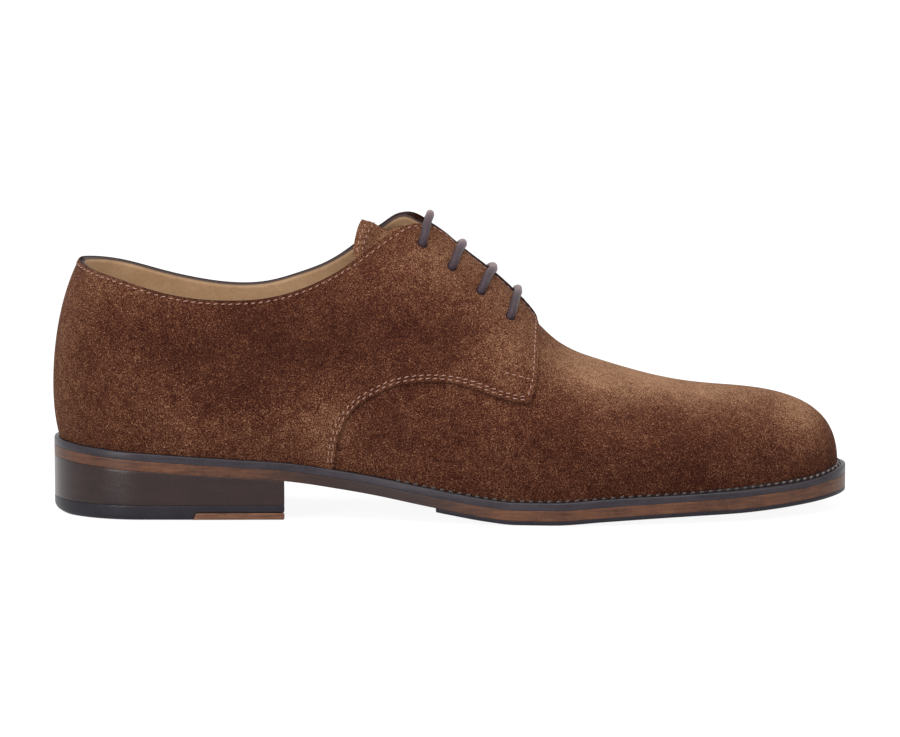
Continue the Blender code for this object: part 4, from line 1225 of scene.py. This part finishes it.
def slab(name, rows_of, low, high, rings, material, replaces):
    """A layer of the sole: plan rows from the little toe's side across, closed at the edge by rings
    of (inset, share of the height)."""
    lateral, medial, bow = rows_of
    rows, across = bow.shape[:2]
    start_point = np.linalg.norm(lateral[0] - medial[0]) < 1e-9
    end_point = np.linalg.norm(lateral[-1] - medial[-1]) < 1e-9
    share = np.linspace(0, 1, across)[None, :, None]
    grid = lateral[:, None] * (1 - share) + medial[:, None] * share + bow
    front = grid[-1, 1:-1] if not end_point else grid[-1, :0]
    last = medial[::-1][1:] if end_point else medial[::-1]
    back = last[:-1] if start_point else last
    open_back = grid[0, -2:0:-1] if not start_point else grid[0, :0]
    loop = np.concatenate([lateral, front, back, open_back])

    def inset(distance):
        ahead = unit(np.roll(loop, -1, axis=0) - loop)
        both = ahead + np.roll(ahead, 1, axis=0)
        size = np.linalg.norm(both, axis=1, keepdims=True)
        both = both / size / np.clip(size / 2, 0.7, 1)
        return loop + distance * turning(loop) * np.stack([-both[:, 1], both[:, 0]], axis=1)

    points, faces, number = [], [], 0
    before = None
    for distance, level in rings:
        ring = inset(distance)
        z = low(ring[:, 0]) + (high(ring[:, 0]) - low(ring[:, 0])) * level
        points.append(np.concatenate([ring, z[:, None]], axis=1))
        after = number + np.arange(len(ring))
        if before is not None:
            faces.append(strip_faces(before, after))
        before, number = after, number + len(ring)
    for distance, level in (rings[0], rings[-1]):
        ring = inset(distance)
        ends_a = ring[:rows]
        tail = ring[rows + (0 if end_point else across - 2):]
        if end_point:
            side_b = np.concatenate([ring[rows - 1: rows], tail])
        else:
            side_b = tail if start_point else tail[:rows]
        if start_point:
            side_b = np.concatenate([side_b, ring[:1]])
        side_b = side_b[:rows][::-1]
        fill = ends_a[:, None] * (1 - share) + side_b[:, None] * share + bow
        if not end_point:
            fill[-1, 1:-1] = ring[rows: rows + across - 2]
        if not start_point:
            fill[0, 1:-1] = ring[-(across - 2):][::-1]
        z = low(fill[..., 0]) + (high(fill[..., 0]) - low(fill[..., 0])) * level
        points.append(np.concatenate([fill, z[..., None]], axis=-1).reshape(-1, 3))
        faces.append(grid_faces(rows, across, number))
        number += rows * across
    points = np.concatenate(points)
    middle, reach, depth = WAIST_STAIN
    values = {"dye_and_shade": depth * np.exp(-(((points[:, 0] - middle) / reach) ** 4))}
    return piece(name, points, np.concatenate(faces), material, replaces, values, weld=1e-5)


def plan(inset, start, end, hollow=0.0, slant=0.0, across=13, count=120):
    """Both edges of a sole layer from x = start to end, and how far its rows bow backwards."""
    tip = SOLE_LENGTH - inset
    if start <= 0:
        heel = np.linspace(0, HEEL_SHARE, 60)[:-1]
        start = HEEL_CENTRE
    else:
        heel = np.zeros(0)
    first, last = float(u_of(start, tip)), float(u_of(min(end, tip), tip))
    u = np.concatenate([heel, np.linspace(first, last, count)])
    lateral = np.stack(edge(-u, inset), axis=-1)
    medial = np.stack(edge(u, inset), axis=-1)
    if end < tip:
        bent = np.clip((lateral[:, 0] - start) / (end - start), 0, 1)
        medial[:, 0] -= slant * bent
    else:
        bent = np.zeros(len(u))
    share = np.linspace(0, 1, across)[None, :]
    bow = np.zeros((len(u), across, 2))
    bow[..., 0] = -hollow * bent[:, None] * (1 - (2 * share - 1) ** 2)
    return lateral, medial, bow


# The rounding of a sole layer's edge, and of one that stands on the floor.
EDGE_RINGS = (
    # inset, share of the height
    (0.0004, 1.0), (0.00006, 0.997), (0.00001, 0.975), (0, 0.9),
    (0, 0.1), (0.00001, 0.025), (0.00006, 0.003), (0.0004, 0.0),
)
FLOOR_RINGS = (
    # inset, share of the height
    (0.0006, 1.0), (0.00012, 0.995), (0.00002, 0.96), (0, 0.85),
    (0, 0.35), (0.00012, 0.15), (0.0004, 0.04), (0.0009, 0.0),
)
# The layers are pressed together: each reaches down over the gap between the solids.
TOUCH = GAP - 0.00003
INSERT_SLANT = 0.0012
INSERT_LEAST = 0.00005


def heel_tread(x):
    """The tread is flat on the floor and rises a little at the very back."""
    return HEEL_BEVEL * np.clip(1 - np.asarray(x) / HEEL_BEVEL_RUN, 0, 1) ** 2


def make_sole():
    """Welt, outsole, insole, half sole and heel, from the top down."""
    make_welt()
    slab(
        "outsole", plan(0, 0, SOLE_LENGTH), lambda x: underside(x) - TOUCH, layer_top,
        EDGE_RINGS, OUTSOLE, ("outsole",),
    )
    slab(
        "insole", plan(LEDGE + 0.0005, 0, SOLE_LENGTH),
        lambda x: layer_top(x) + GAP, lambda x: welt_top(x) + toe_lift(x) + INSOLE_RISE,
        EDGE_RINGS, LINING, ("insole",),
    )
    slab(
        "forefoot_rubber", plan(0, RUBBER_START, SOLE_LENGTH),
        lambda x: underside(x) - GAP - RUBBER_THICK, lambda x: underside(x) - GAP,
        FLOOR_RINGS, RUBBER, ("forefoot_rubber",),
    )
    breast = {"hollow": BREAST_HOLLOW, "slant": BREAST_SLANT}
    slab(
        "heel_stack", plan(0, 0, BREAST, **breast), lambda x: TIP_THICK + GAP - TOUCH + 0 * x,
        lambda x: underside(x) - GAP, EDGE_RINGS, HEEL_LEATHER, ("heel_stack",),
    )
    slab(
        "heel_rubber", plan(0, 0, BREAST, **breast),
        lambda x: np.where(x < INSERT_START, heel_tread(x), 0) + insert_top(x, GAP - TOUCH),
        lambda x: TIP_THICK + 0 * x, FLOOR_RINGS, RUBBER, ("heel_tip_rubber",),
    )
    slab(
        "heel_tip_leather", plan(0, INSERT_START - INSERT_SLANT / 2, BREAST, **breast),
        lambda x: 0 * x, lambda x: insert_top(x, 0.00001),
        FLOOR_RINGS, INSERT, ("heel_tip_leather",),
    )


def insert_top(x, above):
    """Height of the heel's leather corner piece, whose back end is cut on a slant."""
    share = np.clip((np.asarray(x) - INSERT_START) / INSERT_SLANT + 0.5, 0, 1)
    return np.maximum(share * (INSERT_THICK + above), INSERT_LEAST)


def welt_stitches():
    """The welt's thread: stitches standing in its groove round the forefoot."""
    last = float(u_of(WELT_STITCH_START * SOLE_LENGTH, SOLE_LENGTH - WELT_ROW))
    half = np.linspace(last, 1, 400)
    u = np.concatenate([-half, half[-2::-1]])
    x, y = edge(u, WELT_ROW + 0 * u)
    z = welt_top(x) + toe_lift(x) - welt_slope(x) * WELT_ROW_SLOPE - WELT_STITCH_SUNK
    _, _, middle, ahead = beads(np.stack([x, y, z], axis=1), WELT_STITCH_PITCH)
    normal = np.cross(ahead, np.stack([-ahead[:, 1], ahead[:, 0], 0 * ahead[:, 0]], axis=1))
    normal = unit(normal * np.sign(normal[:, 2:3]))
    make_stitches(
        "welt_stitches", [(middle, ahead, normal)], WELT_STITCH_LENGTH, WELT_THREAD_RADIUS,
        WELT_THREAD, WELT_STITCH_LEAN,
    )


# ---------------------------------------------------------------- lace


# How far along the facing's edge a bar's place is looked for.
LOOK_BACK = 0.007
LOOK_AHEAD = 0.002


def facing_place(x, side):
    """The place on one facing's edge over which a lace bar lies at x."""
    u = side * u_of(np.linspace(x - LOOK_BACK, x + LOOK_AHEAD, 46), SOLE_LENGTH - LEDGE)
    a = facing_share(u)
    lifted = surface(u, a, quarter_out(u, a) + LACE_RADIUS - LACE_PRESS)[:, 0]
    return np.array([np.interp(x - LACE_LEAN, lifted, u), np.interp(x - LACE_LEAN, lifted, a)])


def bar_half(place, crown, side):
    """Half of a lace bar: up out of its eyelet, and along a straight line of (u, a) places to the
    facing's edge beside the bar's crown. It leaves the leather further as it leaves the hole."""
    line = np.array(place) + (facing_place(crown[0], side) - place) * np.linspace(0, 1, 30)[:, None]
    u, a = line[:, 0], line[:, 1]
    base = surface(u, a, quarter_out(u, a))
    run = run_along(base)
    lift = np.interp(run, LACE_RISE[0], LACE_RISE[1]) * (LACE_RADIUS - LACE_PRESS)
    hole = surface(*place, np.array(HOLE_DEPTHS) * quarter_out(*place) - HOLE_INSET)
    return np.concatenate([hole, surface(u, a, quarter_out(u, a) + lift)])


# How far up a bar is, in shares of its full height, at each distance from the eyelet's middle.
LACE_RISE = ((0, 0.0006, 0.0014, 0.0024, 0.0036), (-0.1, 0.42, 0.8, 0.98, 1.0))


def bar(number, pairs):
    """A whole bar from the little toe's side to the other, a little higher in the gap's middle."""
    crown = BAR_CROWNS[number]
    lateral, medial = [bar_half(pairs[number][k], crown, side) for k, side in ((0, -1), (1, 1))]
    middle = (lateral[-1] + medial[-1]) / 2
    middle[2] = max(lateral[-1, 2], medial[-1, 2]) + BAR_CROWN_RISE
    return np.concatenate([lateral, middle[None], medial[::-1]])


def inner_run(first, second, bulge, start=0.0, end=1.0):
    """The lace inside, flat between facing and tongue, from one eyelet to another: a straight line
    of (u, a) places, bent towards the ridge by half a sine."""
    share = np.linspace(start, end, 40)
    line = np.array(first) + (np.array(second) - first) * share[:, None]
    here = surface(line[:, 0], line[:, 1])
    across = np.cross(normal_at(line[:, 0], line[:, 1]), np.gradient(here, axis=0))
    step = loop_step(line, unit(across))
    line = line + step * np.sign(step[:, 1:]) * (bulge * np.sin(math.pi * share) ** 0.7)[:, None]
    near = np.linalg.norm(here - surface(*first), axis=1)
    near = np.minimum(near, np.linalg.norm(here - surface(*second), axis=1))
    depth = np.interp(near, [0, INSIDE_NEAR], [INSIDE_START, LACE_INSIDE])
    return surface(line[:, 0], line[:, 1], depth)


def smoothed(values, steps):
    """Rows of values after a Gaussian filter, their ends held."""
    reach = int(3 * steps)
    weight = np.exp(-0.5 * (np.arange(-reach, reach + 1) / steps) ** 2)
    padded = np.pad(values, ((reach, reach), (0, 0)), mode="edge")
    weight /= weight.sum()
    return np.stack([np.convolve(row, weight, "valid") for row in padded.T], axis=1)


def make_lace():
    """One continuous lace: straight bars outside, and runs between facing and tongue inside. Both
    hidden ends stop at a top eyelet. Its section is round outside and pressed flat inside, by a
    squeeze along the last's normal that follows how deep the path lies."""
    pairs = eyelet_places()
    left, right = [[np.array(pair[k]) for pair in pairs] for k in (0, 1)]
    stretches = [
        inner_run(left[3], left[2], BEND_TOP_LEFT, 0.12), bar(2, pairs),
        inner_run(right[2], right[0], BEND_RIGHT), bar(0, pairs)[::-1],
        inner_run(left[0], left[1], 0.0), bar(1, pairs),
        inner_run(right[1], right[3], BEND_TOP_RIGHT), bar(3, pairs)[::-1],
        inner_run(left[3], left[2], BEND_END, 0.0, 0.3),
    ]
    inside = np.concatenate([np.full(len(part), k % 2 == 0, float) for k, part in enumerate(stretches)])
    path = np.concatenate(stretches)
    run = run_along(path)
    flat = at_run(np.arange(0, run[-1], LACE_STEP), run, np.column_stack([path, inside]))
    path = smoothed(flat[:, :3], LACE_SOFT / LACE_STEP)
    inside = smoothed(flat[:, 3:], SQUEEZE_SOFT / LACE_STEP)[:, 0]
    print("lace length", round(float(run_along(path)[-1]), 4))
    tube("lace_cord", path, inside)


LACE_STEP = 0.0003


def tube(name, path, inside):
    """A cord along a path: rings in frames that turn as little as they can, closed by caps, and
    squeezed where the path lies inside the shoe."""
    count, around = len(path), 20
    ahead = unit(np.gradient(path, axis=0))
    side = np.zeros_like(path)
    turn = np.array((0.0, 0.0, 1.0))
    for i in range(count):
        turn = unit(turn - (turn @ ahead[i]) * ahead[i])
        side[i] = turn
    other = np.cross(ahead, side)
    angle = np.linspace(0, 2 * math.pi, around + 1)
    size = np.full(count, LACE_RADIUS)
    size[[0, -1]] *= 0.4
    size[[1, -2]] *= 0.85
    ring = np.cos(angle)[None, :, None] * side[:, None] + np.sin(angle)[None, :, None] * other[:, None]
    tip = SOLE_LENGTH - LEDGE
    medial = path[:, 1] > BALL_WIDTH * column("spine", path[:, 0])
    u = np.where(medial, 1, -1) * u_of(path[:, 0], tip)
    a = share_at(u, path[:, 2], out=lambda p, q: 0 * (p + q))
    normal = normal_at(u, np.clip(a, 0, 0.97))
    squeeze = (1 - LACE_FLAT) * inside
    along = (ring * normal[:, None]).sum(axis=-1, keepdims=True)
    wider = (LACE_SPREAD * inside)[:, None, None]
    ring = ring * (1 + wider) - (squeeze[:, None, None] + wider) * along * normal[:, None]
    points = path[:, None] + size[:, None, None] * ring
    uv = np.broadcast_arrays(run_along(path)[:, None], (angle * LACE_RADIUS)[None, :])
    uv = np.stack(uv, axis=-1)
    flat = points.reshape(-1, 3)
    first, last = len(flat), len(flat) + 1
    number = np.arange(around)
    end = (count - 1) * (around + 1)
    caps = np.concatenate([
        np.stack([number, number + 1, 0 * number + first, 0 * number + first], axis=1),
        np.stack([end + number + 1, end + number, 0 * number + last, 0 * number + last], axis=1),
    ])
    uv = np.concatenate([uv.reshape(-1, 2), np.zeros((2, 2))])
    # How near the lace is to the middle of a bar, where its crown carries a painted highlight.
    off = np.abs(path[:, 1] - BALL_WIDTH * column("spine", path[:, 0]))
    painted_crown_highlight = np.repeat(np.clip(CROWN_HIGHLIGHT_FULL - off / CROWN_HIGHLIGHT_REACH, 0, 1) * (1 - inside), around + 1)
    return piece(
        name, np.concatenate([flat, path[:1], path[-1:]]),
        np.concatenate([grid_faces(count, around + 1), caps]), LACE,
        tuple(f"lace_bar_{k}" for k in (1, 2, 3, 4)), {"painted_crown_highlight": np.append(painted_crown_highlight, (0, 0))},
        uv=uv, weld=1e-7,
    )


# ---------------------------------------------------------------- materials


def node(tree, kind, values=None, **settings):
    """A shader node with its sockets set or linked, and its options set."""
    made = tree.nodes.new(kind)
    for key, value in settings.items():
        setattr(made, key, value)
    for key, value in (values or {}).items():
        socket = made.inputs[key]
        if isinstance(value, bpy.types.NodeSocket):
            tree.links.new(value, socket)
        else:
            socket.default_value = value
    return made


def material(name):
    """An empty Principled material, its tree and its shader."""
    made = bpy.data.materials.new(name)
    made.use_nodes = True
    tree = made.node_tree
    return made, tree, tree.nodes["Principled BSDF"]


def noise(tree, place, scale, detail=3.0, roughness=0.55, distortion=0.0):
    """Smooth noise, 0 to 1. scale is in cells per metre."""
    made = node(tree, "ShaderNodeTexNoise", {
        "Vector": place, "Scale": scale, "Detail": detail, "Roughness": roughness,
        "Distortion": distortion,
    })
    return made.outputs["Fac"]


def ramp(tree, value, stops):
    """A colour ramp with stops of (place, colour)."""
    made = node(tree, "ShaderNodeValToRGB", {"Fac": value})
    row = made.color_ramp.elements
    while len(row) < len(stops):
        row.new(0.5)
    for element, (place, colour) in zip(row, stops):
        element.position = place
        element.color = (*colour, 1)
    return made.outputs["Color"]


def sums(tree, operation, first, second):
    """Two values joined by a Math node."""
    return node(tree, "ShaderNodeMath", {0: first, 1: second}, operation=operation).outputs[0]


def weighted(tree, *parts):
    """The sum of pairs of (value, weight)."""
    total = sums(tree, "MULTIPLY", *parts[0])
    for part in parts[1:]:
        total = sums(tree, "ADD", total, sums(tree, "MULTIPLY", *part))
    return total


def mixed(tree, share, first, second):
    """Two colours mixed by a share."""
    return node(tree, "ShaderNodeMix", {0: share, 6: first, 7: second}, data_type="RGBA").outputs[2]


def value_of(tree, name):
    """An attribute of the piece's own points."""
    return node(tree, "ShaderNodeAttribute", attribute_name=name).outputs["Fac"]


def dressed(tree, shader, colour, bump, sockets):
    """A shader's colour, its bump from (height, strength, distance), and its constant sockets."""
    tree.links.new(colour, shader.inputs["Base Color"])
    height, strength, distance = bump
    made = node(tree, "ShaderNodeBump", {"Strength": strength, "Distance": distance, "Height": height})
    tree.links.new(made.outputs["Normal"], shader.inputs["Normal"])
    for key, value in sockets.items():
        shader.inputs[key].default_value = value


def suede_material():
    """Napped leather: mottled by how the nap lies and by painted light and shade, speckled by its
    fibres, dark on cut edges by edge dye and painted shade.
    """
    made, tree, shader = material("suede")
    place = node(tree, "ShaderNodeTexCoord").outputs["Object"]
    patches = noise(tree, place, 38, 3, 0.55, 0.4)
    clouds = noise(tree, place, 300, 3, 0.6)
    fibres = noise(tree, place, 2000, 2, 0.75)
    points = noise(tree, place, 4200, 1, 0.5)
    # Painted light and shade over the nap's base level, from the piece's points.
    value = value_of(tree, "nap_and_painted_light")
    for part, gain in ((patches, 0.5), (clouds, 0.5), (fibres, 2.3), (points, 1.6)):
        part = sums(tree, "SUBTRACT", part, 0.5)
        value = sums(tree, "ADD", value, sums(tree, "MULTIPLY", part, gain))
    colour = ramp(tree, value, (
        (0.0, (0.015, 0.0042, 0.0027)), (0.3, (0.034, 0.0096, 0.0056)),
        (0.55, (0.066, 0.0222, 0.0118)), (0.8, (0.118, 0.052, 0.0275)), (1.0, (0.215, 0.122, 0.070)),
    ))
    # Cut edges darkened: edge dye, and painted shade along the facings and collar.
    colour = mixed(tree, value_of(tree, "dye_and_shade"), colour, (0.024, 0.0155, 0.0165, 1))
    height = sums(tree, "ADD", fibres, sums(tree, "MULTIPLY", clouds, 0.8))
    dressed(tree, shader, colour, (height, 0.8, 0.0004), {
        "Roughness": 0.95, "Specular IOR Level": 0.03, "Sheen Weight": 0.02, "Sheen Roughness": 0.5,
        "Sheen Tint": (0.85, 0.6, 0.45, 1),
    })
    return made


def leather_material(name, colours, roughness, gloss, grain=900, streaks=None, stain_and_shade=None):
    """Smooth leather or rubber: two colours mottled, fine grain, and streaks along the sole's
    layers where the edge was cut and waxed."""
    made, tree, shader = material(name)
    place = node(tree, "ShaderNodeTexCoord").outputs["Object"]
    cloud = noise(tree, place, 90, 4, 0.6)
    fine = noise(tree, place, grain, 4, 0.6)
    value = weighted(tree, (cloud, 0.6), (fine, 0.4))
    height = fine
    if streaks:
        stretched = node(tree, "ShaderNodeMapping", {"Vector": place, "Scale": (0.1, 0.1, 1.0)})
        lines = noise(tree, stretched.outputs[0], streaks, 2, 0.6)
        value = weighted(tree, (value, 0.6), (lines, 0.4))
        height = sums(tree, "ADD", fine, lines)
    colour = ramp(tree, value, ((0.34, colours[0]), (0.66, colours[1])))
    # A darker second colour by the piece's dark value: dye, and on the welt painted shade.
    if stain_and_shade:
        colour = mixed(tree, value_of(tree, "dye_and_shade"), colour, (*stain_and_shade, 1))
    rough = node(tree, "ShaderNodeMapRange", {
        "Value": fine, "To Min": roughness - 0.08, "To Max": roughness + 0.1,
    })
    tree.links.new(rough.outputs[0], shader.inputs["Roughness"])
    dressed(tree, shader, colour, (height, 0.4, 0.00006), {"Specular IOR Level": gloss})
    return made


def thread_material(name, dark, light, toe=None):
    """Twisted thread: fine slanting noise between two colours, the light one paler round the toe as a
    painted highlight.
    """
    made, tree, shader = material(name)
    place = node(tree, "ShaderNodeTexCoord").outputs["Object"]
    strands = noise(tree, place, 5200, 2, 0.6)
    colour = ramp(tree, strands, ((0.3, dark), (0.7, light)))
    if toe:
        along = node(tree, "ShaderNodeSeparateXYZ", {0: place}).outputs[0]
        share = node(tree, "ShaderNodeMapRange", {
            "Value": along, "From Min": THREAD_HIGHLIGHT_AT[0], "From Max": THREAD_HIGHLIGHT_AT[1],
        }).outputs[0]
        colour = mixed(tree, share, colour, ramp(tree, strands, ((0.3, light), (0.7, toe))))
    dressed(tree, shader, colour, (strands, 0.4, 0.00005), {"Roughness": 0.6, "Sheen Weight": 0.2})
    return made


# Where along the shoe the welt's thread turns pale, a painted highlight round the toe, from the heel
# tread's middle.
THREAD_HIGHLIGHT_AT = (0.222, 0.244)


def lace_material():
    """Waxed braided cord: two sets of slanting strands on the lace's own map, lighter at the bars'
    middles by a painted highlight.
    """
    made, tree, shader = material("lace")
    place = node(tree, "ShaderNodeTexCoord").outputs["UV"]
    sets = []
    for slant in (1.0, -1.0):
        turned = node(tree, "ShaderNodeMapping", {
            "Vector": place, "Rotation": (0, 0, slant * math.radians(48)),
        })
        wave = node(tree, "ShaderNodeTexWave", {
            "Vector": turned.outputs[0], "Scale": 330.0, "Distortion": 0.4, "Detail": 1.0,
        })
        sets.append(wave.outputs["Fac"])
    braid = sums(tree, "MAXIMUM", sets[0], sets[1])
    dust = noise(tree, node(tree, "ShaderNodeTexCoord").outputs["Object"], 1500, 3, 0.6)
    # The bars' middles are lightened: a painted highlight on their crowns.
    value = weighted(tree, (braid, 0.2), (dust, 0.45), (value_of(tree, "painted_crown_highlight"), 0.5))
    colour = ramp(tree, value, (
        (0.2, (0.013, 0.0075, 0.012)), (0.55, (0.046, 0.028, 0.033)), (0.95, (0.17, 0.118, 0.115)),
    ))
    dressed(tree, shader, colour, (braid, 0.6, 0.0001), {
        "Roughness": 0.5, "Specular IOR Level": 0.18, "Sheen Weight": 0.05, "Sheen Roughness": 0.4,
    })
    return made


def floor_material():
    """A plain pale floor that glows a little, as a lit table does."""
    made, _, shader = material("floor")
    shader.inputs["Base Color"].default_value = (0.14, 0.14, 0.14, 1)
    shader.inputs["Specular IOR Level"].default_value = 0.0
    shader.inputs["Emission Color"].default_value = (1, 1, 1, 1)
    shader.inputs["Emission Strength"].default_value = 0.92
    shader.inputs["Roughness"].default_value = 0.7
    return made


# ---------------------------------------------------------------- floor, lights, camera


FLOOR_SIZE = 12.0
FLOOR_HEIGHT = -0.0004
WORLD_STRENGTH = 1.05
LAMPS = (
    # name, place, size, watts
    ("lamp_above", (0.1, -0.35, 1.2), (1.2, 1.2), 16.0),
    ("lamp_left", (-0.64, -1.03, 0.32), (0.50, 0.90), 12.0),
    ("lamp_right", (1.1, -0.7, 0.6), (0.8, 0.8), 4.0),
)


def make_stage():
    """A pale floor, a pale surround, three soft lamps and the photograph's camera."""
    mesh = bpy.data.meshes.new("floor")
    half = FLOOR_SIZE / 2
    corners = [(-half, -half, 0), (half, -half, 0), (half, half, 0), (-half, half, 0)]
    mesh.from_pydata(corners, [], [(0, 1, 2, 3)])
    mesh.materials.append(floor_material())
    floor = bpy.data.objects.new("floor", mesh)
    floor.location.z = FLOOR_HEIGHT
    bpy.context.scene.collection.objects.link(floor)
    world = bpy.data.worlds.new("studio")
    bpy.context.scene.world = world
    world.use_nodes = True
    background = world.node_tree.nodes["Background"]
    background.inputs[0].default_value = (1, 1, 1, 1)
    background.inputs[1].default_value = WORLD_STRENGTH
    for name, place, size, power in LAMPS:
        light = bpy.data.lights.new(name, "AREA")
        light.energy = power
        light.shape = "RECTANGLE"
        light.size, light.size_y = size
        lamp = bpy.data.objects.new(name, light)
        lamp.location = place
        away = np.array(place) - CAMERA_AIM
        flat = math.hypot(away[0], away[1])
        lamp.rotation_euler = (math.atan2(flat, away[2]), 0, math.atan2(away[1], away[0]) + math.pi / 2)
        bpy.context.scene.collection.objects.link(lamp)
    data = bpy.data.cameras.new("camera")
    camera = bpy.data.objects.new("camera", data)
    cos, sin = math.cos(CAMERA_ELEVATION), math.sin(CAMERA_ELEVATION)
    camera.location = (
        CAMERA_AIM[0], CAMERA_AIM[1] - CAMERA_DISTANCE * cos, CAMERA_AIM[2] + CAMERA_DISTANCE * sin,
    )
    camera.rotation_euler = (math.pi / 2 - CAMERA_ELEVATION, 0, 0)
    data.lens = CAMERA_LENS
    data.sensor_width = 36
    data.shift_x, data.shift_y = FRAME_SHIFT
    data.clip_end = 20
    bpy.context.scene.collection.objects.link(camera)
    bpy.context.scene.camera = camera
    bpy.context.scene.view_settings.view_transform = "Standard"


SUEDE = suede_material()
LINING = leather_material(
    "lining", ((0.35, 0.215, 0.115), (0.48, 0.315, 0.185)), 0.6, 0.12, stain_and_shade=(0.030, 0.018, 0.016),
)
# Its darkest colour, on the top next to the upper, is dye and painted shade.
WELT = leather_material(
    "welt", ((0.0105, 0.0085, 0.0112), (0.028, 0.0220, 0.0275)), 0.34, 0.2, streaks=700,
    stain_and_shade=(0.007, 0.0042, 0.004),
)
OUTSOLE = leather_material(
    "sole_leather", ((0.024, 0.0095, 0.0068), (0.108, 0.044, 0.022)), 0.38, 0.18,
    grain=1400, streaks=900, stain_and_shade=(0.017, 0.0105, 0.0105),
)
HEEL_LEATHER = leather_material(
    "heel_leather", ((0.0080, 0.0026, 0.0026), (0.0180, 0.0064, 0.0060)), 0.26, 0.3, streaks=420,
)
RUBBER = leather_material(
    "rubber", ((0.0085, 0.0072, 0.0098), (0.016, 0.0135, 0.0180)), 0.36, 0.14, grain=1800,
)
INSERT = leather_material(
    "tan_leather", ((0.044, 0.019, 0.012), (0.150, 0.070, 0.040)), 0.5, 0.12, grain=1500, streaks=800,
)
THREAD = thread_material("thread", (0.12, 0.050, 0.034), (0.31, 0.160, 0.110))
# Its third colour is a painted highlight on the stitches round the toe.
WELT_THREAD = thread_material(
    "welt_thread", (0.010, 0.0065, 0.0065), (0.030, 0.020, 0.019), (0.13, 0.098, 0.094),
)
LACE = lace_material()


def main():
    loops = [make_quarter(-1), make_quarter(1)]
    make_vamp()
    make_lining(loops)
    make_tongue()
    quarter_stitches(loops)
    make_sole()
    welt_stitches()
    make_lace()
    make_stage()


main()
